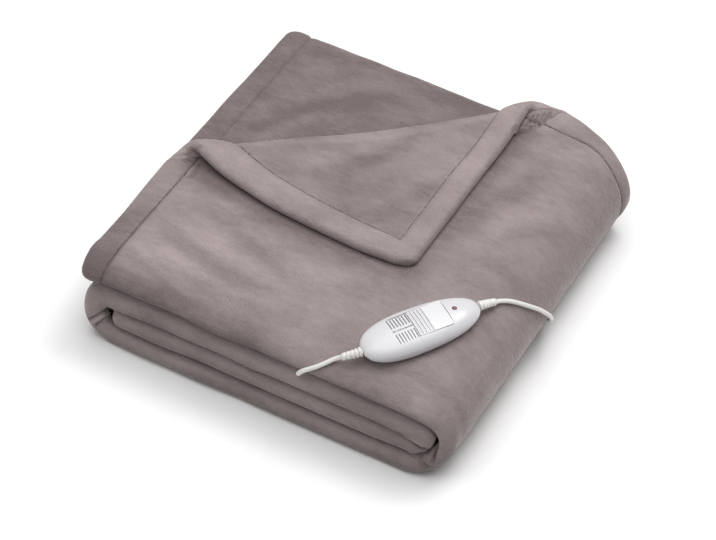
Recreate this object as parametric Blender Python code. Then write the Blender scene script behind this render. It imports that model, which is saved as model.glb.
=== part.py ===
"""Electric heated blanket, folded on a table, with its slide switch, lead and mains plug.

Metres, +Z up. X runs from the left hems to the round fold at the right, Y from the front folds to the back.
The cloth is one sheet. Its width is folded back and forth in three layers, and the packet of three is then
wound four times across the length, so the section in XZ is a flat spiral:
top packet, wide fold at the right, bottom packet, fold at the left, second packet, inner fold, third packet.
"""

import math

import bmesh
import bpy
from mathutils import Matrix, Vector

# ---- Cloth: driving dimensions ----
STACK_LENGTH = 0.455  # left hems to the outside of the wide fold
STACK_DEPTH = 0.4420  # front folds to back folds
SHEET_THICK = 0.0080  # two plush faces and the wire layer between them
SHEET_PITCH = 0.0089  # from one layer to the next inside a packet
PACKET_GAPS = (0.0018, 0.0022, 0.0030)  # under the third, the second and the top packet
BACK_OVERHANG = 0.0220  # how far the top layer's hem stands past the back folds
OVERHANG_DROOP = 0.0085
DROOP_START = 0.04  # the droop grows over this length to the right of the turned corner
OVERHANG_FADE = (0.350, 0.115)  # where the overhang starts to shrink, and the length over which it does
HEM_WIDTH = 0.030
STITCH_SINK = 0.0011
STITCH_HALF = 0.0016
HEM_ROUND = 0.0030
THIRD_HEM_INSET = 0.055  # the lowest layer of a packet ends this far behind the front fold
LEFT_FOLD_X = -0.0010  # outside of the left fold
THIRD_END_X = 0.0315  # free end of the third packet
LEFT_HEM_X = (-0.0035, 0.0150)  # of the top packet, at the front and at the back
LEFT_HEM_SPAN = 0.13  # the slant of the left hems is lost over this length
TOP_FRONT_PRESS = 0.26  # the top packet is this much thinner at its front
TOP_LEFT_PRESS = 0.24
TOP_LEFT_SPAN = 0.040
WRAP_EASE = 0.0090  # the wide fold's front stands this far back
FRONT_LEAN = 0.0050  # each packet's lower rim stands this far out, and its top this far in
FRONT_SLOPE = 0.115  # the whole front leans back by this much of its height
FRONT_SPAN = 0.060  # how deep the shape of the front reaches into the stack
CORNER_ROUND = 0.018
THIRD_CORNER_ROUND = 0.016

# ---- Turned-over corner of the top layer, in the stack's plan ----
CREASE_LEFT = (0.0, 0.183)
CREASE_RIGHT = (0.345, 0.455)
FLAP_TIP = (0.321, 0.168)
FLAP_TIP_ROUND = 0.012
FLAP_ROLL_START = 0.010  # along the crease, where the roll starts
FLAP_LEFT_START = 0.034  # where the turned left edge leaves the roll
FLAP_RIGHT_START = 0.420
FLAP_ROLL = 0.0080  # radius of the roll, at the middle of the sheet
FLAP_REST_GAP = 0.0010
FLAP_SETTLE = 0.11  # the lifted roll comes down to the cloth over this distance

# ---- Hand switch ----
SWITCH_CENTRE = (0.3715, 0.0940)
SWITCH_TURN = math.radians(56.0)
SWITCH_LENGTH = 0.1385
SWITCH_WIDTH = 0.0550
SWITCH_HEIGHT = 0.0240
SWITCH_SPLIT = 0.0100  # height of the seam between the two shells
SWITCH_EGG = 0.10
SWITCH_SQUARE = 2.35
PANEL_X = (-0.0335, 0.0312)  # sunk panel, along the switch from its centre
PANEL_WIDTH = 0.0365
PANEL_FLOOR = 0.0214
PANEL_CROWN = 3.6  # fall across the panel, in metres for each square metre
SLIDER_X = (-0.0085, 0.0306)
SLIDER_WIDTH = 0.0355
SLIDER_LIFT = 0.0004
SLIDER_THICK = 0.0015
SLIDER_RIBS = 4
RIB_FIRST_X = -0.0060
RIB_PITCH = 0.0041
RIB_WIDTH = 0.0014
RIB_HEIGHT = 0.0006
SCALE_MARKS = 8  # short grooves in each of the two columns on the panel's floor
SCALE_MARK_X = -0.0315
SCALE_MARK_PITCH = 0.0030
SCALE_MARK_WIDTH = 0.0011
SCALE_MARK_Y = (0.0048, 0.0172)
SCALE_MARK_DEPTH = 0.0005
LENS_X = 0.0400
LENS_RADIUS = 0.0024
LENS_RISE = 0.0008
LENS_HOLE_DEPTH = 0.0035

# ---- Lead and plug ----
CORD_DIAMETER = 0.0050
FACE_GAP = 0.0003
CORD_GAP = 0.0009  # from a cord's flat end to its relief, and from its side to the wide fold
RELIEF_TIPS = ((0.3151, 0.0260), (0.4200, 0.1714))  # in the stack's plan
RELIEF_TIP_HEIGHTS = (0.0024, 0.0033)  # above the top cloth
RELIEF_BEND = 0.0080
RELIEF_ROOT = 0.0052
RELIEF_TIP = 0.0036
RELIEF_RIBS = 4
RELIEF_HEIGHT = 0.0105  # of both cord exits above the switch's base
RELIEF_SINK = 0.0008
HANK_LENGTH = 0.135
HANK_WIDTH = 0.046
HANK_HEIGHT = 0.0160
HANK_CENTRE = (0.330, 0.4745)
TIE_WIDTH = 0.008
TIE_THICK = 0.0012
PLUG_LENGTH = 0.036
PLUG_WIDTH = 0.030
PLUG_HEIGHT = 0.014
PLUG_TAIL_X = 0.226
PIN_RADIUS = 0.0020
PIN_LENGTH = 0.0190
PIN_SPACING = 0.0186

MIDDLE = (0.2258, 0.2316)  # of the cloth in plan, so that the origin lies under it

# ---- Worked out from the above ----
PACKET = 2 * SHEET_PITCH + SHEET_THICK
Z_BOTTOM = PACKET / 2
Z_THIRD = Z_BOTTOM + PACKET + PACKET_GAPS[0]
Z_SECOND = Z_THIRD + PACKET + PACKET_GAPS[1]
Z_TOP = Z_SECOND + PACKET + PACKET_GAPS[2]
TOP = Z_TOP + PACKET / 2
WIDE_RADIUS = (Z_TOP - Z_BOTTOM) / 2
WRAP_X = STACK_LENGTH - WIDE_RADIUS - PACKET / 2
LEFT_RADIUS = (Z_SECOND - Z_BOTTOM) / 2
LEFT_X = LEFT_FOLD_X + LEFT_RADIUS + PACKET / 2
INNER_RADIUS = (Z_SECOND - Z_THIRD) / 2
BACK_HEM = STACK_DEPTH + BACK_OVERHANG
PLAN_SHIFT = Vector((-MIDDLE[0], -MIDDLE[1], 0.0))
SWITCH_PLACE = (
    Matrix.Translation(PLAN_SHIFT + Vector((*SWITCH_CENTRE, TOP + FACE_GAP)))
    @ Matrix.Rotation(SWITCH_TURN, 4, "Z")
)

# ---- Colours: base colour, roughness, metallic ----
CLOTH = ("plush_cloth", (0.29, 0.25, 0.24), 0.95, 0.0)
SHELL = ("white_gloss_shell", (0.83, 0.82, 0.83), 0.28, 0.0)
SLIDE = ("white_satin_slider", (0.78, 0.78, 0.79), 0.36, 0.0)
LENS = ("red_lens", (0.30, 0.01, 0.02), 0.15, 0.0)
CORD = ("white_cord", (0.80, 0.79, 0.76), 0.45, 0.0)
TIE = ("dark_tie", (0.05, 0.05, 0.05), 0.60, 0.0)
PINS = ("plated_pins", (0.70, 0.70, 0.70), 0.25, 1.0)


def smooth(value):
    """0 below 0, 1 above 1, and an even ease between them."""
    t = min(1.0, max(0.0, value))
    return t * t * (3 - 2 * t)


def material(finish):
    name, colour, roughness, metallic = finish
    found = bpy.data.materials.get(name)
    if found:
        return found
    made = bpy.data.materials.new(name)
    made.use_nodes = True
    shader = made.node_tree.nodes["Principled BSDF"]
    shader.inputs["Base Color"].default_value = (*colour, 1.0)
    shader.inputs["Roughness"].default_value = roughness
    shader.inputs["Metallic"].default_value = metallic
    return made


def add_object(name, data, finish):
    obj = bpy.data.objects.new(name, data)
    bpy.context.scene.collection.objects.link(obj)
    if finish:
        data.materials.append(material(finish))
    return obj


def add_mesh(name, mesh_maker, finish, place=None, sharp_degrees=40.0):
    """A new object whose mesh is what mesh_maker leaves in an empty bmesh."""
    bm = bmesh.new()
    mesh_maker(bm)
    bmesh.ops.recalc_face_normals(bm, faces=bm.faces)
    mesh = bpy.data.meshes.new(name)
    bm.to_mesh(mesh)
    bm.free()
    mesh.shade_smooth()
    mesh.set_sharp_from_angle(angle=math.radians(sharp_degrees))
    obj = add_object(name, mesh, finish)
    if place:
        obj.matrix_world = place
    return obj


def boolean(target, cutter, operation):
    modifier = target.modifiers.new(cutter.name, "BOOLEAN")
    modifier.operation = operation
    modifier.solver = "EXACT"
    modifier.object = cutter
    cutter.hide_render = True
    cutter.display_type = "WIRE"


def tube_between_loops(bm, loops, closed_ends=True):
    """Joins vertex loops of equal length into a closed skin."""
    for first, second in zip(loops, loops[1:]):
        count = len(first)
        for i in range(count):
            j = (i + 1) % count
            bm.faces.new((first[i], first[j], second[j], second[i]))
    if closed_ends:
        bm.faces.new(loops[0])
        bm.faces.new(loops[-1])


# ---- Cloth ----


def arc(centre, radius, start, end, steps):
    """Points of an arc in the section, angles in degrees, both ends included."""
    angles = [math.radians(start + (end - start) * i / steps) for i in range(steps + 1)]
    return [(centre[0] + radius * math.cos(a), centre[1] + radius * math.sin(a)) for a in angles]


def sheet_section():
    """Middle line of the folded width, as (y, h, layer): from the top layer's back hem to the lowest hem."""
    p = SHEET_PITCH
    stitch = BACK_HEM - HEM_WIDTH
    nose = 0.012
    hook = 0.0052
    nose_front = SHEET_THICK / 2
    turn = p - nose
    fold_y = STACK_DEPTH - p / 2 - SHEET_THICK / 2
    top = [(BACK_HEM - HEM_ROUND, p), (BACK_HEM - 0.011, p), (stitch + 0.009, p)]
    top += [(stitch + STITCH_HALF, p), (stitch, p), (stitch - STITCH_HALF, p)]
    top += [(0.30, p), (CREASE_LEFT[1] - 0.01, p), (0.10, p), (FRONT_SPAN, p), (0.035, p - 0.0006)]
    front = arc((nose_front + nose, turn), nose, 90, 180, 4)
    front += arc((nose_front + hook, turn), hook, 180, 360, 4)[1:]
    front += [(nose_front + 2 * hook + 0.0022, turn + 0.0026), (nose_front + 2 * hook + 0.0070, 0.0)]
    middle = [(FRONT_SPAN, 0.0), (fold_y - 0.02, 0.0)]
    back = arc((fold_y, -p / 2), p / 2, 90, -90, 4)
    low = [(fold_y - 0.02, -p), (THIRD_HEM_INSET + HEM_ROUND, -p)]
    return [(y, h, 1) for y, h in top + front] + [(y, h, 2) for y, h in middle + back + low]


def section_loop(half, groove):
    """Outline of the sheet's section: (y, h, layer) points on both of its sides, with blunt round hems."""
    line = sheet_section()
    stitch = BACK_HEM - HEM_WIDTH
    sides = ([], [])
    for i, (y, h, layer) in enumerate(line):
        before, after = line[max(i - 1, 0)], line[min(i + 1, len(line) - 1)]
        first = Vector((y - before[0], h - before[1]))
        second = Vector((after[0] - y, after[1] - h))
        units = [v.normalized() for v in (first, second) if v.length > 0]
        along = sum(units, Vector((0.0, 0.0))).normalized()
        widen = 1 / max(0.7, abs(along.dot(units[0])))
        away = Vector((-along.y, along.x)) * widen
        thin = STITCH_SINK if groove or (abs(y - stitch) < 1e-9 and layer == 1) else 0.0
        for side, sign in zip(sides, (1, -1)):
            point = Vector((y, h)) + away * sign * (half - thin)
            side.append((point.x, point.y, layer))
    start, end = line[0], line[-1]
    start_cap = [(start[0] + HEM_ROUND, start[1] + s * half * 0.55, 1) for s in (-1, 1)]
    end_cap = [(end[0] - HEM_ROUND, end[1] + s * half * 0.55, 2) for s in (1, -1)]
    return sides[1] + end_cap + sides[0][::-1] + start_cap


def straight(x0, x1, z, heading, places):
    """Stations (x, z, heading, half thickness share, grooved, distance from x0) on a flat packet."""
    sign = 1 if x1 > x0 else -1
    return [(x0 + sign * d, z, heading, share, groove) for d, share, groove in places]


def bend(cx, cz, radius, heading, steps):
    """Stations round a fold that turns clockwise by half a turn, without its two ends."""
    made = []
    for i in range(1, steps):
        turned = heading - math.pi * i / steps
        side = Vector((-math.sin(turned), math.cos(turned)))
        made.append((cx + radius * side.x, cz + radius * side.y, turned, 1.0, False))
    return made


def hem_places(length, rest):
    """Distances from a free end: the blunt edge, the corner's rounding, the stitched groove, then the rest."""
    places = [(0.0, 0.55, False), (HEM_ROUND, 1.0, False), (0.009, 1.0, False), (CORNER_ROUND, 1.0, False)]
    places += [(HEM_WIDTH + side * STITCH_HALF, 1.0, side == 0) for side in (-1, 0, 1)]
    return places + [(d, 1.0, False) for d in rest] + [(length, 1.0, False)]


def spiral_stations():
    """The wound length, as stations from the top packet's left hem to the third packet's free end."""
    turn = math.pi
    run = WRAP_X - LEFT_X
    plain = [(0.0, 1.0, False), (run / 3, 1.0, False), (2 * run / 3, 1.0, False), (run, 1.0, False)]
    third = hem_places(WRAP_X - THIRD_END_X, (0.12, 0.24))
    made = straight(0.0, WRAP_X, Z_TOP, 0.0, hem_places(WRAP_X, (0.08, 0.16, 0.25, 0.345, 0.37)))
    made += bend(WRAP_X, (Z_TOP + Z_BOTTOM) / 2, WIDE_RADIUS, 0.0, 12)
    made += straight(WRAP_X, LEFT_X, Z_BOTTOM, -turn, plain)
    made += bend(LEFT_X, (Z_BOTTOM + Z_SECOND) / 2, LEFT_RADIUS, -turn, 10)
    made += straight(LEFT_X, WRAP_X, Z_SECOND, -2 * turn, plain)
    made += bend(WRAP_X, (Z_SECOND + Z_THIRD) / 2, INNER_RADIUS, -2 * turn, 8)
    made += straight(THIRD_END_X, WRAP_X, Z_THIRD, -3 * turn, third)[::-1]
    return made


def corner_pull(distance, radius):
    """How far a rounded corner draws in at this distance from the end."""
    reach = max(0.0, radius - distance)
    return radius - math.sqrt(max(0.0, radius * radius - reach * reach))


def pressed(x, y, heading):
    """How much thinner the top packet is here: at its front, also round the wide fold, and at its left hems."""
    if heading < -math.pi:
        return 0.0
    fade = smooth(1 + heading / math.pi)
    front = TOP_FRONT_PRESS * fade * (1 - smooth(y / FRONT_SPAN))
    if heading != 0.0:
        return front
    before_flap = 1 - smooth((y - CREASE_LEFT[1] / 2) / (CREASE_LEFT[1] / 2 - 0.01))
    return max(front, TOP_LEFT_PRESS * before_flap * (1 - smooth(x / TOP_LEFT_SPAN)))


def overhang_left(x, heading):
    """1 where the top layer's hem stands out past the back folds in full, 0 where it's flush with them."""
    start, length = OVERHANG_FADE
    walked = (x if heading == 0.0 else WRAP_X + WIDE_RADIUS * -heading) - start
    return 1 - smooth(walked / length)


def place_on_spiral(station, point):
    """A point of the section, carried to its station and given the slopes and rounding of the real stack."""
    x, z, heading, _, _ = station
    y, h, layer = point
    up = math.cos(heading)
    out = -math.sin(heading)
    front = smooth((FRONT_SPAN - y) / (FRONT_SPAN - 0.015))
    back = smooth((y - 0.30) / 0.12)
    in_wrap = -math.pi < heading < 0.0
    lean = FRONT_LEAN * up * h / (PACKET / 2)
    slope = FRONT_SLOPE * (z - Z_BOTTOM) + (WRAP_EASE * out * out if in_wrap else 0.0)
    pull = corner_pull(x, CORNER_ROUND) if heading == 0.0 else 0.0
    if heading < -2.9 * math.pi:
        pull = corner_pull(x - THIRD_END_X, THIRD_CORNER_ROUND)
    shift = front * (lean + slope + pull) - back * pull * 0.5
    if layer == 1:
        stands = overhang_left(x, heading)
        shift -= BACK_OVERHANG * back * (1 - stands)
        hangs = smooth((x - CREASE_RIGHT[0]) / DROOP_START) if heading == 0.0 else 1.0
        h -= OVERHANG_DROOP * stands * hangs * max(0.0, 1 - (BACK_HEM - y) / HEM_WIDTH) ** 2
    h -= pressed(x, y, heading) * (h + PACKET / 2)
    if heading == 0.0:
        low, high = LEFT_HEM_X
        x += (low + (high - low) * y / STACK_DEPTH) * (1 - smooth(x / LEFT_HEM_SPAN))
    return Vector((x + h * out, y + shift, z + h * up)) + PLAN_SHIFT


def make_cloth(bm):
    loops = []
    for station in spiral_stations():
        half = SHEET_THICK / 2 * station[3]
        loop = section_loop(half, station[4])
        loops.append([bm.verts.new(place_on_spiral(station, point)) for point in loop])
    tube_between_loops(bm, loops)


# ---- Turned-over corner ----


def crease_axes():
    """In the stack's plan: the crease's left end, its direction, the direction out of it, and its length."""
    left, right = Vector(CREASE_LEFT), Vector(CREASE_RIGHT)
    along = (right - left).normalized()
    return left, along, Vector((-along.y, along.x)), (right - left).length


def flap_edges(way):
    """Where the flap's two edges lie along the crease, at this distance back from it."""
    left, along, out, _ = crease_axes()
    tip = Vector(FLAP_TIP) - left
    tip_along, tip_way = tip.dot(along), -tip.dot(out)
    share = way / tip_way
    low = FLAP_LEFT_START + (tip_along - FLAP_LEFT_START) * share
    high = FLAP_RIGHT_START + (tip_along - FLAP_RIGHT_START) * share
    centre = tip_way - FLAP_TIP_ROUND * math.sqrt(2)
    if way > centre + FLAP_TIP_ROUND * math.sqrt(0.5):
        half = math.sqrt(max(0.0, FLAP_TIP_ROUND**2 - (way - centre) ** 2))
        low, high = max(low, tip_along - half), min(high, tip_along + half)
    return low, high


def flap_hems():
    """How far in from each end of a row the two hem stitches lie, and the half width of their grooves."""
    left, along, out, _ = crease_axes()
    tip = Vector(FLAP_TIP) - left
    tip_along, tip_way = tip.dot(along), -tip.dot(out)
    made = []
    for start in (FLAP_LEFT_START, FLAP_RIGHT_START):
        slant = math.hypot(tip_way, tip_along - start) / tip_way
        made.append((HEM_WIDTH * slant, STITCH_HALF * slant))
    return made, tip_way


def flap_rows():
    """Rows across the flap, from inside the sheet round the roll to the tip: (two ends, normal, grooved)."""
    left, along, out, length = crease_axes()
    sheet_z = Z_TOP + SHEET_PITCH
    rest = SHEET_THICK + FLAP_REST_GAP
    hems, tip_way = flap_hems()
    start = FLAP_ROLL_START
    rows = [(start + 0.004, length - 0.006, -0.010, 0.0, 0.0, False), (start, length, 0.0, 0.0, 0.0, False)]
    steps = 7
    for i in range(1, steps + 1):
        angle = math.pi * i / steps
        low = start + (FLAP_LEFT_START - start) * i / steps
        high = length + (FLAP_RIGHT_START - length) * i / steps
        rows.append((low, high, FLAP_ROLL * math.sin(angle), FLAP_ROLL * (1 - math.cos(angle)), angle, True))
    stitched = sum(hem + 2 * half for hem, half in hems)
    close = tip_way * (1 - stitched / (FLAP_RIGHT_START - FLAP_LEFT_START))
    round_end = tip_way - FLAP_TIP_ROUND * (math.sqrt(2) - 1)
    ways = [(0.03, True), (0.06, True), (FLAP_SETTLE, True), (close, True), (close + 0.0025, False)]
    ways += [(tip_way - 0.0090, False), (tip_way - 0.0066, False), (round_end - 0.0004, False)]
    for way, grooved in ways:
        lift = rest + (2 * FLAP_ROLL - rest) * (1 - smooth(way / FLAP_SETTLE))
        rows.append((*flap_edges(way), -way, lift, math.pi, grooved))
    made = []
    for low, high, outward, lift, angle, grooved in rows:
        normal = Vector((*(out * -math.sin(angle)), math.cos(angle)))
        first, last = [Vector((*(left + along * a + out * outward), sheet_z + lift)) for a in (low, high)]
        made.append((first, last, normal, grooved))
    return made


def flap_columns(width, grooved):
    """Distances along a row, each with how far the sheet is sunk there."""
    edge = min(HEM_ROUND, width / 4)
    if not grooved:
        return [(edge + (width - 2 * edge) * i / 9, 0.0) for i in range(10)]
    (low, low_half), (high, high_half) = flap_hems()[0]
    inner = (low + low_half, width - high - high_half)
    made = [(edge, 0.0), (low - low_half, 0.0), (low, STITCH_SINK)]
    made += [(inner[0] + (inner[1] - inner[0]) * i / 3, 0.0) for i in range(4)]
    return made + [(width - high, STITCH_SINK), (width - high + high_half, 0.0), (width - edge, 0.0)]


def make_flap(bm):
    """The turned corner as a slab with rounded edges, a little thinner where it lies inside the sheet."""
    _, along, _, _ = crease_axes()
    flat = Vector((*along, 0.0))
    loops = []
    for index, (first, last, normal, grooved) in enumerate(flap_rows()):
        half = SHEET_THICK / 2 - (0.0005, 0.0001, 0.0)[min(index, 2)]
        spots = flap_columns((last - first).length, grooved)
        columns = [(first + flat * way, half - sunk) for way, sunk in spots]
        upper = [spot + normal * deep for spot, deep in columns]
        lower = [spot - normal * deep for spot, deep in reversed(columns)]
        far_edge = [last + normal * half * 0.55 * side for side in (1, -1)]
        near_edge = [first + normal * half * 0.55 * side for side in (-1, 1)]
        loops.append([bm.verts.new(point + PLAN_SHIFT) for point in upper + far_edge + lower + near_edge])
    tube_between_loops(bm, loops)


def make_corner_cutter(bm):
    """All of the top layer beyond the crease."""
    left, along, out, length = crease_axes()
    low, high = Z_TOP + SHEET_PITCH / 2, TOP + 0.05
    plan = [left - along * 0.1, left + along * (length + 0.1)]
    plan += [plan[1] + out * 0.5, plan[0] + out * 0.5]
    loops = [[bm.verts.new(Vector((*point, z)) + PLAN_SHIFT) for point in plan] for z in (low, high)]
    tube_between_loops(bm, loops)


def build_cloth():
    cloth = add_mesh("blanket_cloth", make_cloth, CLOTH, sharp_degrees=50)
    corner = add_mesh("corner_cutter", make_corner_cutter, None)
    flap = add_mesh("turned_corner", make_flap, None)
    boolean(cloth, corner, "DIFFERENCE")
    boolean(cloth, flap, "UNION")


# ---- Hand switch, in its own frame: x along it, z up from its base ----


def switch_outline(share, count=44):
    """Egg-shaped outline of the switch, scaled by share."""
    made = []
    for i in range(count):
        angle = 2 * math.pi * i / count
        c, s = math.cos(angle), math.sin(angle)
        power = 2 / SWITCH_SQUARE
        x = math.copysign(abs(c) ** power, c)
        y = math.copysign(abs(s) ** power, s) * (1 - SWITCH_EGG * x)
        made.append((x * share * SWITCH_LENGTH / 2, y * share * SWITCH_WIDTH / 2))
    return made


def crown_height(share):
    """Height of the upper shell where the outline is scaled by share."""
    rise = SWITCH_HEIGHT - SWITCH_SPLIT - FACE_GAP
    return SWITCH_SPLIT + FACE_GAP + rise * (1 - share**3) ** 0.46


def shell_loops(bm, levels):
    return [[bm.verts.new((x, y, z)) for x, y in switch_outline(share)] for share, z in levels]


def make_lower_shell(bm):
    levels = [(0.80, 0.0), (0.88, 0.0012), (0.95, 0.0038), (0.99, 0.0072), (1.0, SWITCH_SPLIT)]
    tube_between_loops(bm, shell_loops(bm, levels))


def make_upper_shell(bm):
    shares = (1.0, 0.995, 0.98, 0.95, 0.90, 0.82, 0.70, 0.54, 0.34, 0.14)
    tube_between_loops(bm, shell_loops(bm, [(share, crown_height(share)) for share in shares]))


def crowned_block(bm, x_range, width, low, high, fall_low, fall_high):
    """A block whose lower and upper faces fall away from the middle line by the panel's crown."""
    columns = 6
    ys = [width * (i / columns - 0.5) for i in range(columns + 1)]
    loops = []
    for x in x_range:
        under = [(x, y, low - PANEL_CROWN * y * y * fall_low) for y in ys]
        over = [(x, y, high - PANEL_CROWN * y * y * fall_high) for y in reversed(ys)]
        loops.append([bm.verts.new(point) for point in under + over])
    tube_between_loops(bm, loops)


def make_panel_cutter(bm):
    crowned_block(bm, PANEL_X, PANEL_WIDTH, PANEL_FLOOR, SWITCH_HEIGHT + 0.01, 1.0, 0.0)


def make_lens_cutter(bm):
    place = Matrix.Translation((LENS_X, 0.0, SWITCH_HEIGHT))
    radius = LENS_RADIUS + FACE_GAP
    size = {"radius1": radius, "radius2": radius, "depth": 2 * LENS_HOLE_DEPTH}
    bmesh.ops.create_cone(bm, cap_ends=True, segments=20, matrix=place, **size)


def make_lens(bm):
    """A low dome on a short barrel that stands in its hole."""
    floor = SWITCH_HEIGHT - LENS_HOLE_DEPTH + FACE_GAP
    rim = crown_height(2 * LENS_X / SWITCH_LENGTH)
    levels = [(1.0, floor), (1.0, rim), (0.78, rim + LENS_RISE * 0.7), (0.40, rim + LENS_RISE)]
    turns = [2 * math.pi * i / 16 for i in range(16)]
    loops = []
    for share, z in levels:
        radius = LENS_RADIUS * share
        loops.append([bm.verts.new((LENS_X + radius * math.cos(a), radius * math.sin(a), z)) for a in turns])
    tube_between_loops(bm, loops)


def slider_floor():
    return PANEL_FLOOR + SLIDER_LIFT


def make_slider(bm):
    crowned_block(bm, SLIDER_X, SLIDER_WIDTH, slider_floor(), slider_floor() + SLIDER_THICK, 1.0, 1.0)


def make_slider_ribs(bm):
    low = slider_floor() + SLIDER_THICK / 2
    high = slider_floor() + SLIDER_THICK + RIB_HEIGHT
    for i in range(SLIDER_RIBS):
        x = RIB_FIRST_X + RIB_PITCH * i
        crowned_block(bm, (x - RIB_WIDTH / 2, x + RIB_WIDTH / 2), SLIDER_WIDTH - 0.003, low, high, 1.0, 1.0)


def make_scale_cutter(bm):
    """Two columns of short bars that reach a little into the panel's floor."""
    low, high = (SCALE_MARK_Y[0], SCALE_MARK_Y[1])
    for side in (-1, 1):
        for i in range(SCALE_MARKS):
            x = SCALE_MARK_X + SCALE_MARK_PITCH * i
            loops = []
            for way in (x - SCALE_MARK_WIDTH / 2, x + SCALE_MARK_WIDTH / 2):
                corners = []
                for y in (low, high):
                    floor = PANEL_FLOOR - PANEL_CROWN * y * y
                    corners += [(side * y, floor - SCALE_MARK_DEPTH), (side * y, floor + 0.002)]
                ring = [corners[0], corners[2], corners[3], corners[1]]
                loops.append([bm.verts.new((way, *corner)) for corner in ring])
            tube_between_loops(bm, loops)


def build_switch():
    add_mesh("switch_lower_shell", make_lower_shell, SHELL, SWITCH_PLACE)
    upper = add_mesh("switch_upper_shell", make_upper_shell, SHELL, SWITCH_PLACE)
    cutters = {"panel": make_panel_cutter, "scale": make_scale_cutter, "lens_hole": make_lens_cutter}
    for name, maker in cutters.items():
        boolean(upper, add_mesh(f"{name}_cutter", maker, None, SWITCH_PLACE), "DIFFERENCE")
    add_mesh("indicator_lens", make_lens, LENS, SWITCH_PLACE)
    slider = add_mesh("heat_slider", make_slider, SLIDE, SWITCH_PLACE)
    boolean(slider, add_mesh("slider_ribs", make_slider_ribs, None, SWITCH_PLACE), "UNION")


# ---- Lead, reliefs, hank and plug ----


def relief_ends():
    """(root, bend, tip) of the two strain reliefs: out of the shell, then down to the cloth."""
    tips = [Vector((*RELIEF_TIPS[i], TOP + RELIEF_TIP_HEIGHTS[i])) for i in (0, 1)]
    made = []
    for side, tip in zip((-1, 1), tips):
        reach = [SWITCH_LENGTH / 2 + out for out in (FACE_GAP, RELIEF_BEND)]
        root, bend = [SWITCH_PLACE @ Vector((side * x, 0.0, RELIEF_HEIGHT)) for x in reach]
        made.append((root, bend, PLAN_SHIFT + tip))
    return made


def make_relief(root, bend, tip):
    """A ribbed sleeve that tapers along a bent line."""
    profile = [(0.0, RELIEF_ROOT)]
    for i in range(RELIEF_RIBS):
        radius = RELIEF_ROOT + (RELIEF_TIP - RELIEF_ROOT) * (i + 1) / RELIEF_RIBS
        low, high = (i + 0.35) / RELIEF_RIBS, (i + 0.85) / RELIEF_RIBS
        profile += [(low, radius), (low + 0.03, radius - RELIEF_SINK), (high, radius - RELIEF_SINK)]
        profile += [(min(high + 0.03, 0.99), radius)]
    profile += [(1.0, RELIEF_TIP - 0.0002)]

    def maker(bm):
        loops = []
        for t, radius in profile:
            centre = root * (1 - t) ** 2 + bend * 2 * t * (1 - t) + tip * t * t
            along = (bend - root) * (1 - t) + (tip - bend) * t
            turn = along.normalized().to_track_quat("Z", "Y").to_matrix()
            angles = [2 * math.pi * i / 12 for i in range(12)]
            ring = [turn @ Vector((radius * math.cos(a), radius * math.sin(a), 0.0)) for a in angles]
            loops.append([bm.verts.new(centre + spoke) for spoke in ring])
        tube_between_loops(bm, loops)

    return maker


def spline_through(points, step):
    """Points a step apart on a smooth curve through the route's own points."""
    padded = [points[0] * 2 - points[1], *points, points[-1] * 2 - points[-2]]
    fine = []
    for a, b, c, d in zip(padded, padded[1:], padded[2:], padded[3:]):
        for i in range(12):
            t = i / 12
            square, cube = 2 * a - 5 * b + 4 * c - d, 3 * b - a - 3 * c + d
            fine.append(0.5 * (2 * b + (c - a) * t + square * t * t + cube * t**3))
    fine.append(points[-1])
    total = sum((q - p).length for p, q in zip(fine, fine[1:]))
    count = max(2, round(total / step))
    wanted = [total * i / count for i in range(1, count)]
    made, walked = [fine[0]], 0.0
    for p, q in zip(fine, fine[1:]):
        length = (q - p).length
        while wanted and walked + length >= wanted[0]:
            made.append(p + (q - p) * ((wanted.pop(0) - walked) / length))
        walked += length
    return made + [fine[-1]]


def add_cord(name, points):
    curve = bpy.data.curves.new(name, "CURVE")
    curve.dimensions = "3D"
    curve.bevel_depth = CORD_DIAMETER / 2
    curve.bevel_resolution = 2
    curve.use_fill_caps = True
    spline = curve.splines.new("POLY")
    route = spline_through(points, CORD_DIAMETER * 2)
    spline.points.add(len(route) - 1)
    for spot, point in zip(spline.points, route):
        spot.co = (*point, 1.0)
    return add_object(name, curve, CORD)


def from_relief(bend, tip):
    """The cord's first two points: in line with its relief."""
    way = (tip - bend).normalized()
    return [tip + way * CORD_GAP, tip + way * 0.0085]


def over_wide_fold(degrees, y):
    """A point of the cord's middle on the wide fold, by its angle above the fold's middle."""
    radius = WIDE_RADIUS + PACKET / 2 + CORD_DIAMETER / 2 + CORD_GAP
    angle = math.radians(degrees)
    centre_z = (Z_TOP + Z_BOTTOM) / 2
    place = Vector((WRAP_X + radius * math.cos(angle), y, centre_z + radius * math.sin(angle)))
    return PLAN_SHIFT + place


def left_lead_route(bend, tip):
    """From the left relief over the front shoulder and into the crease under the top packet."""
    plan = [(0.2962, 0.0131, TOP - 0.0087), (0.2869, 0.0077, TOP - 0.0138), (0.2797, 0.0049, TOP - 0.0185)]
    plan += [(0.2754, 0.0038, TOP - 0.0236), (0.2735, 0.0062, TOP - 0.0280)]
    return from_relief(bend, tip) + [PLAN_SHIFT + Vector(point) for point in plan]


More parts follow.
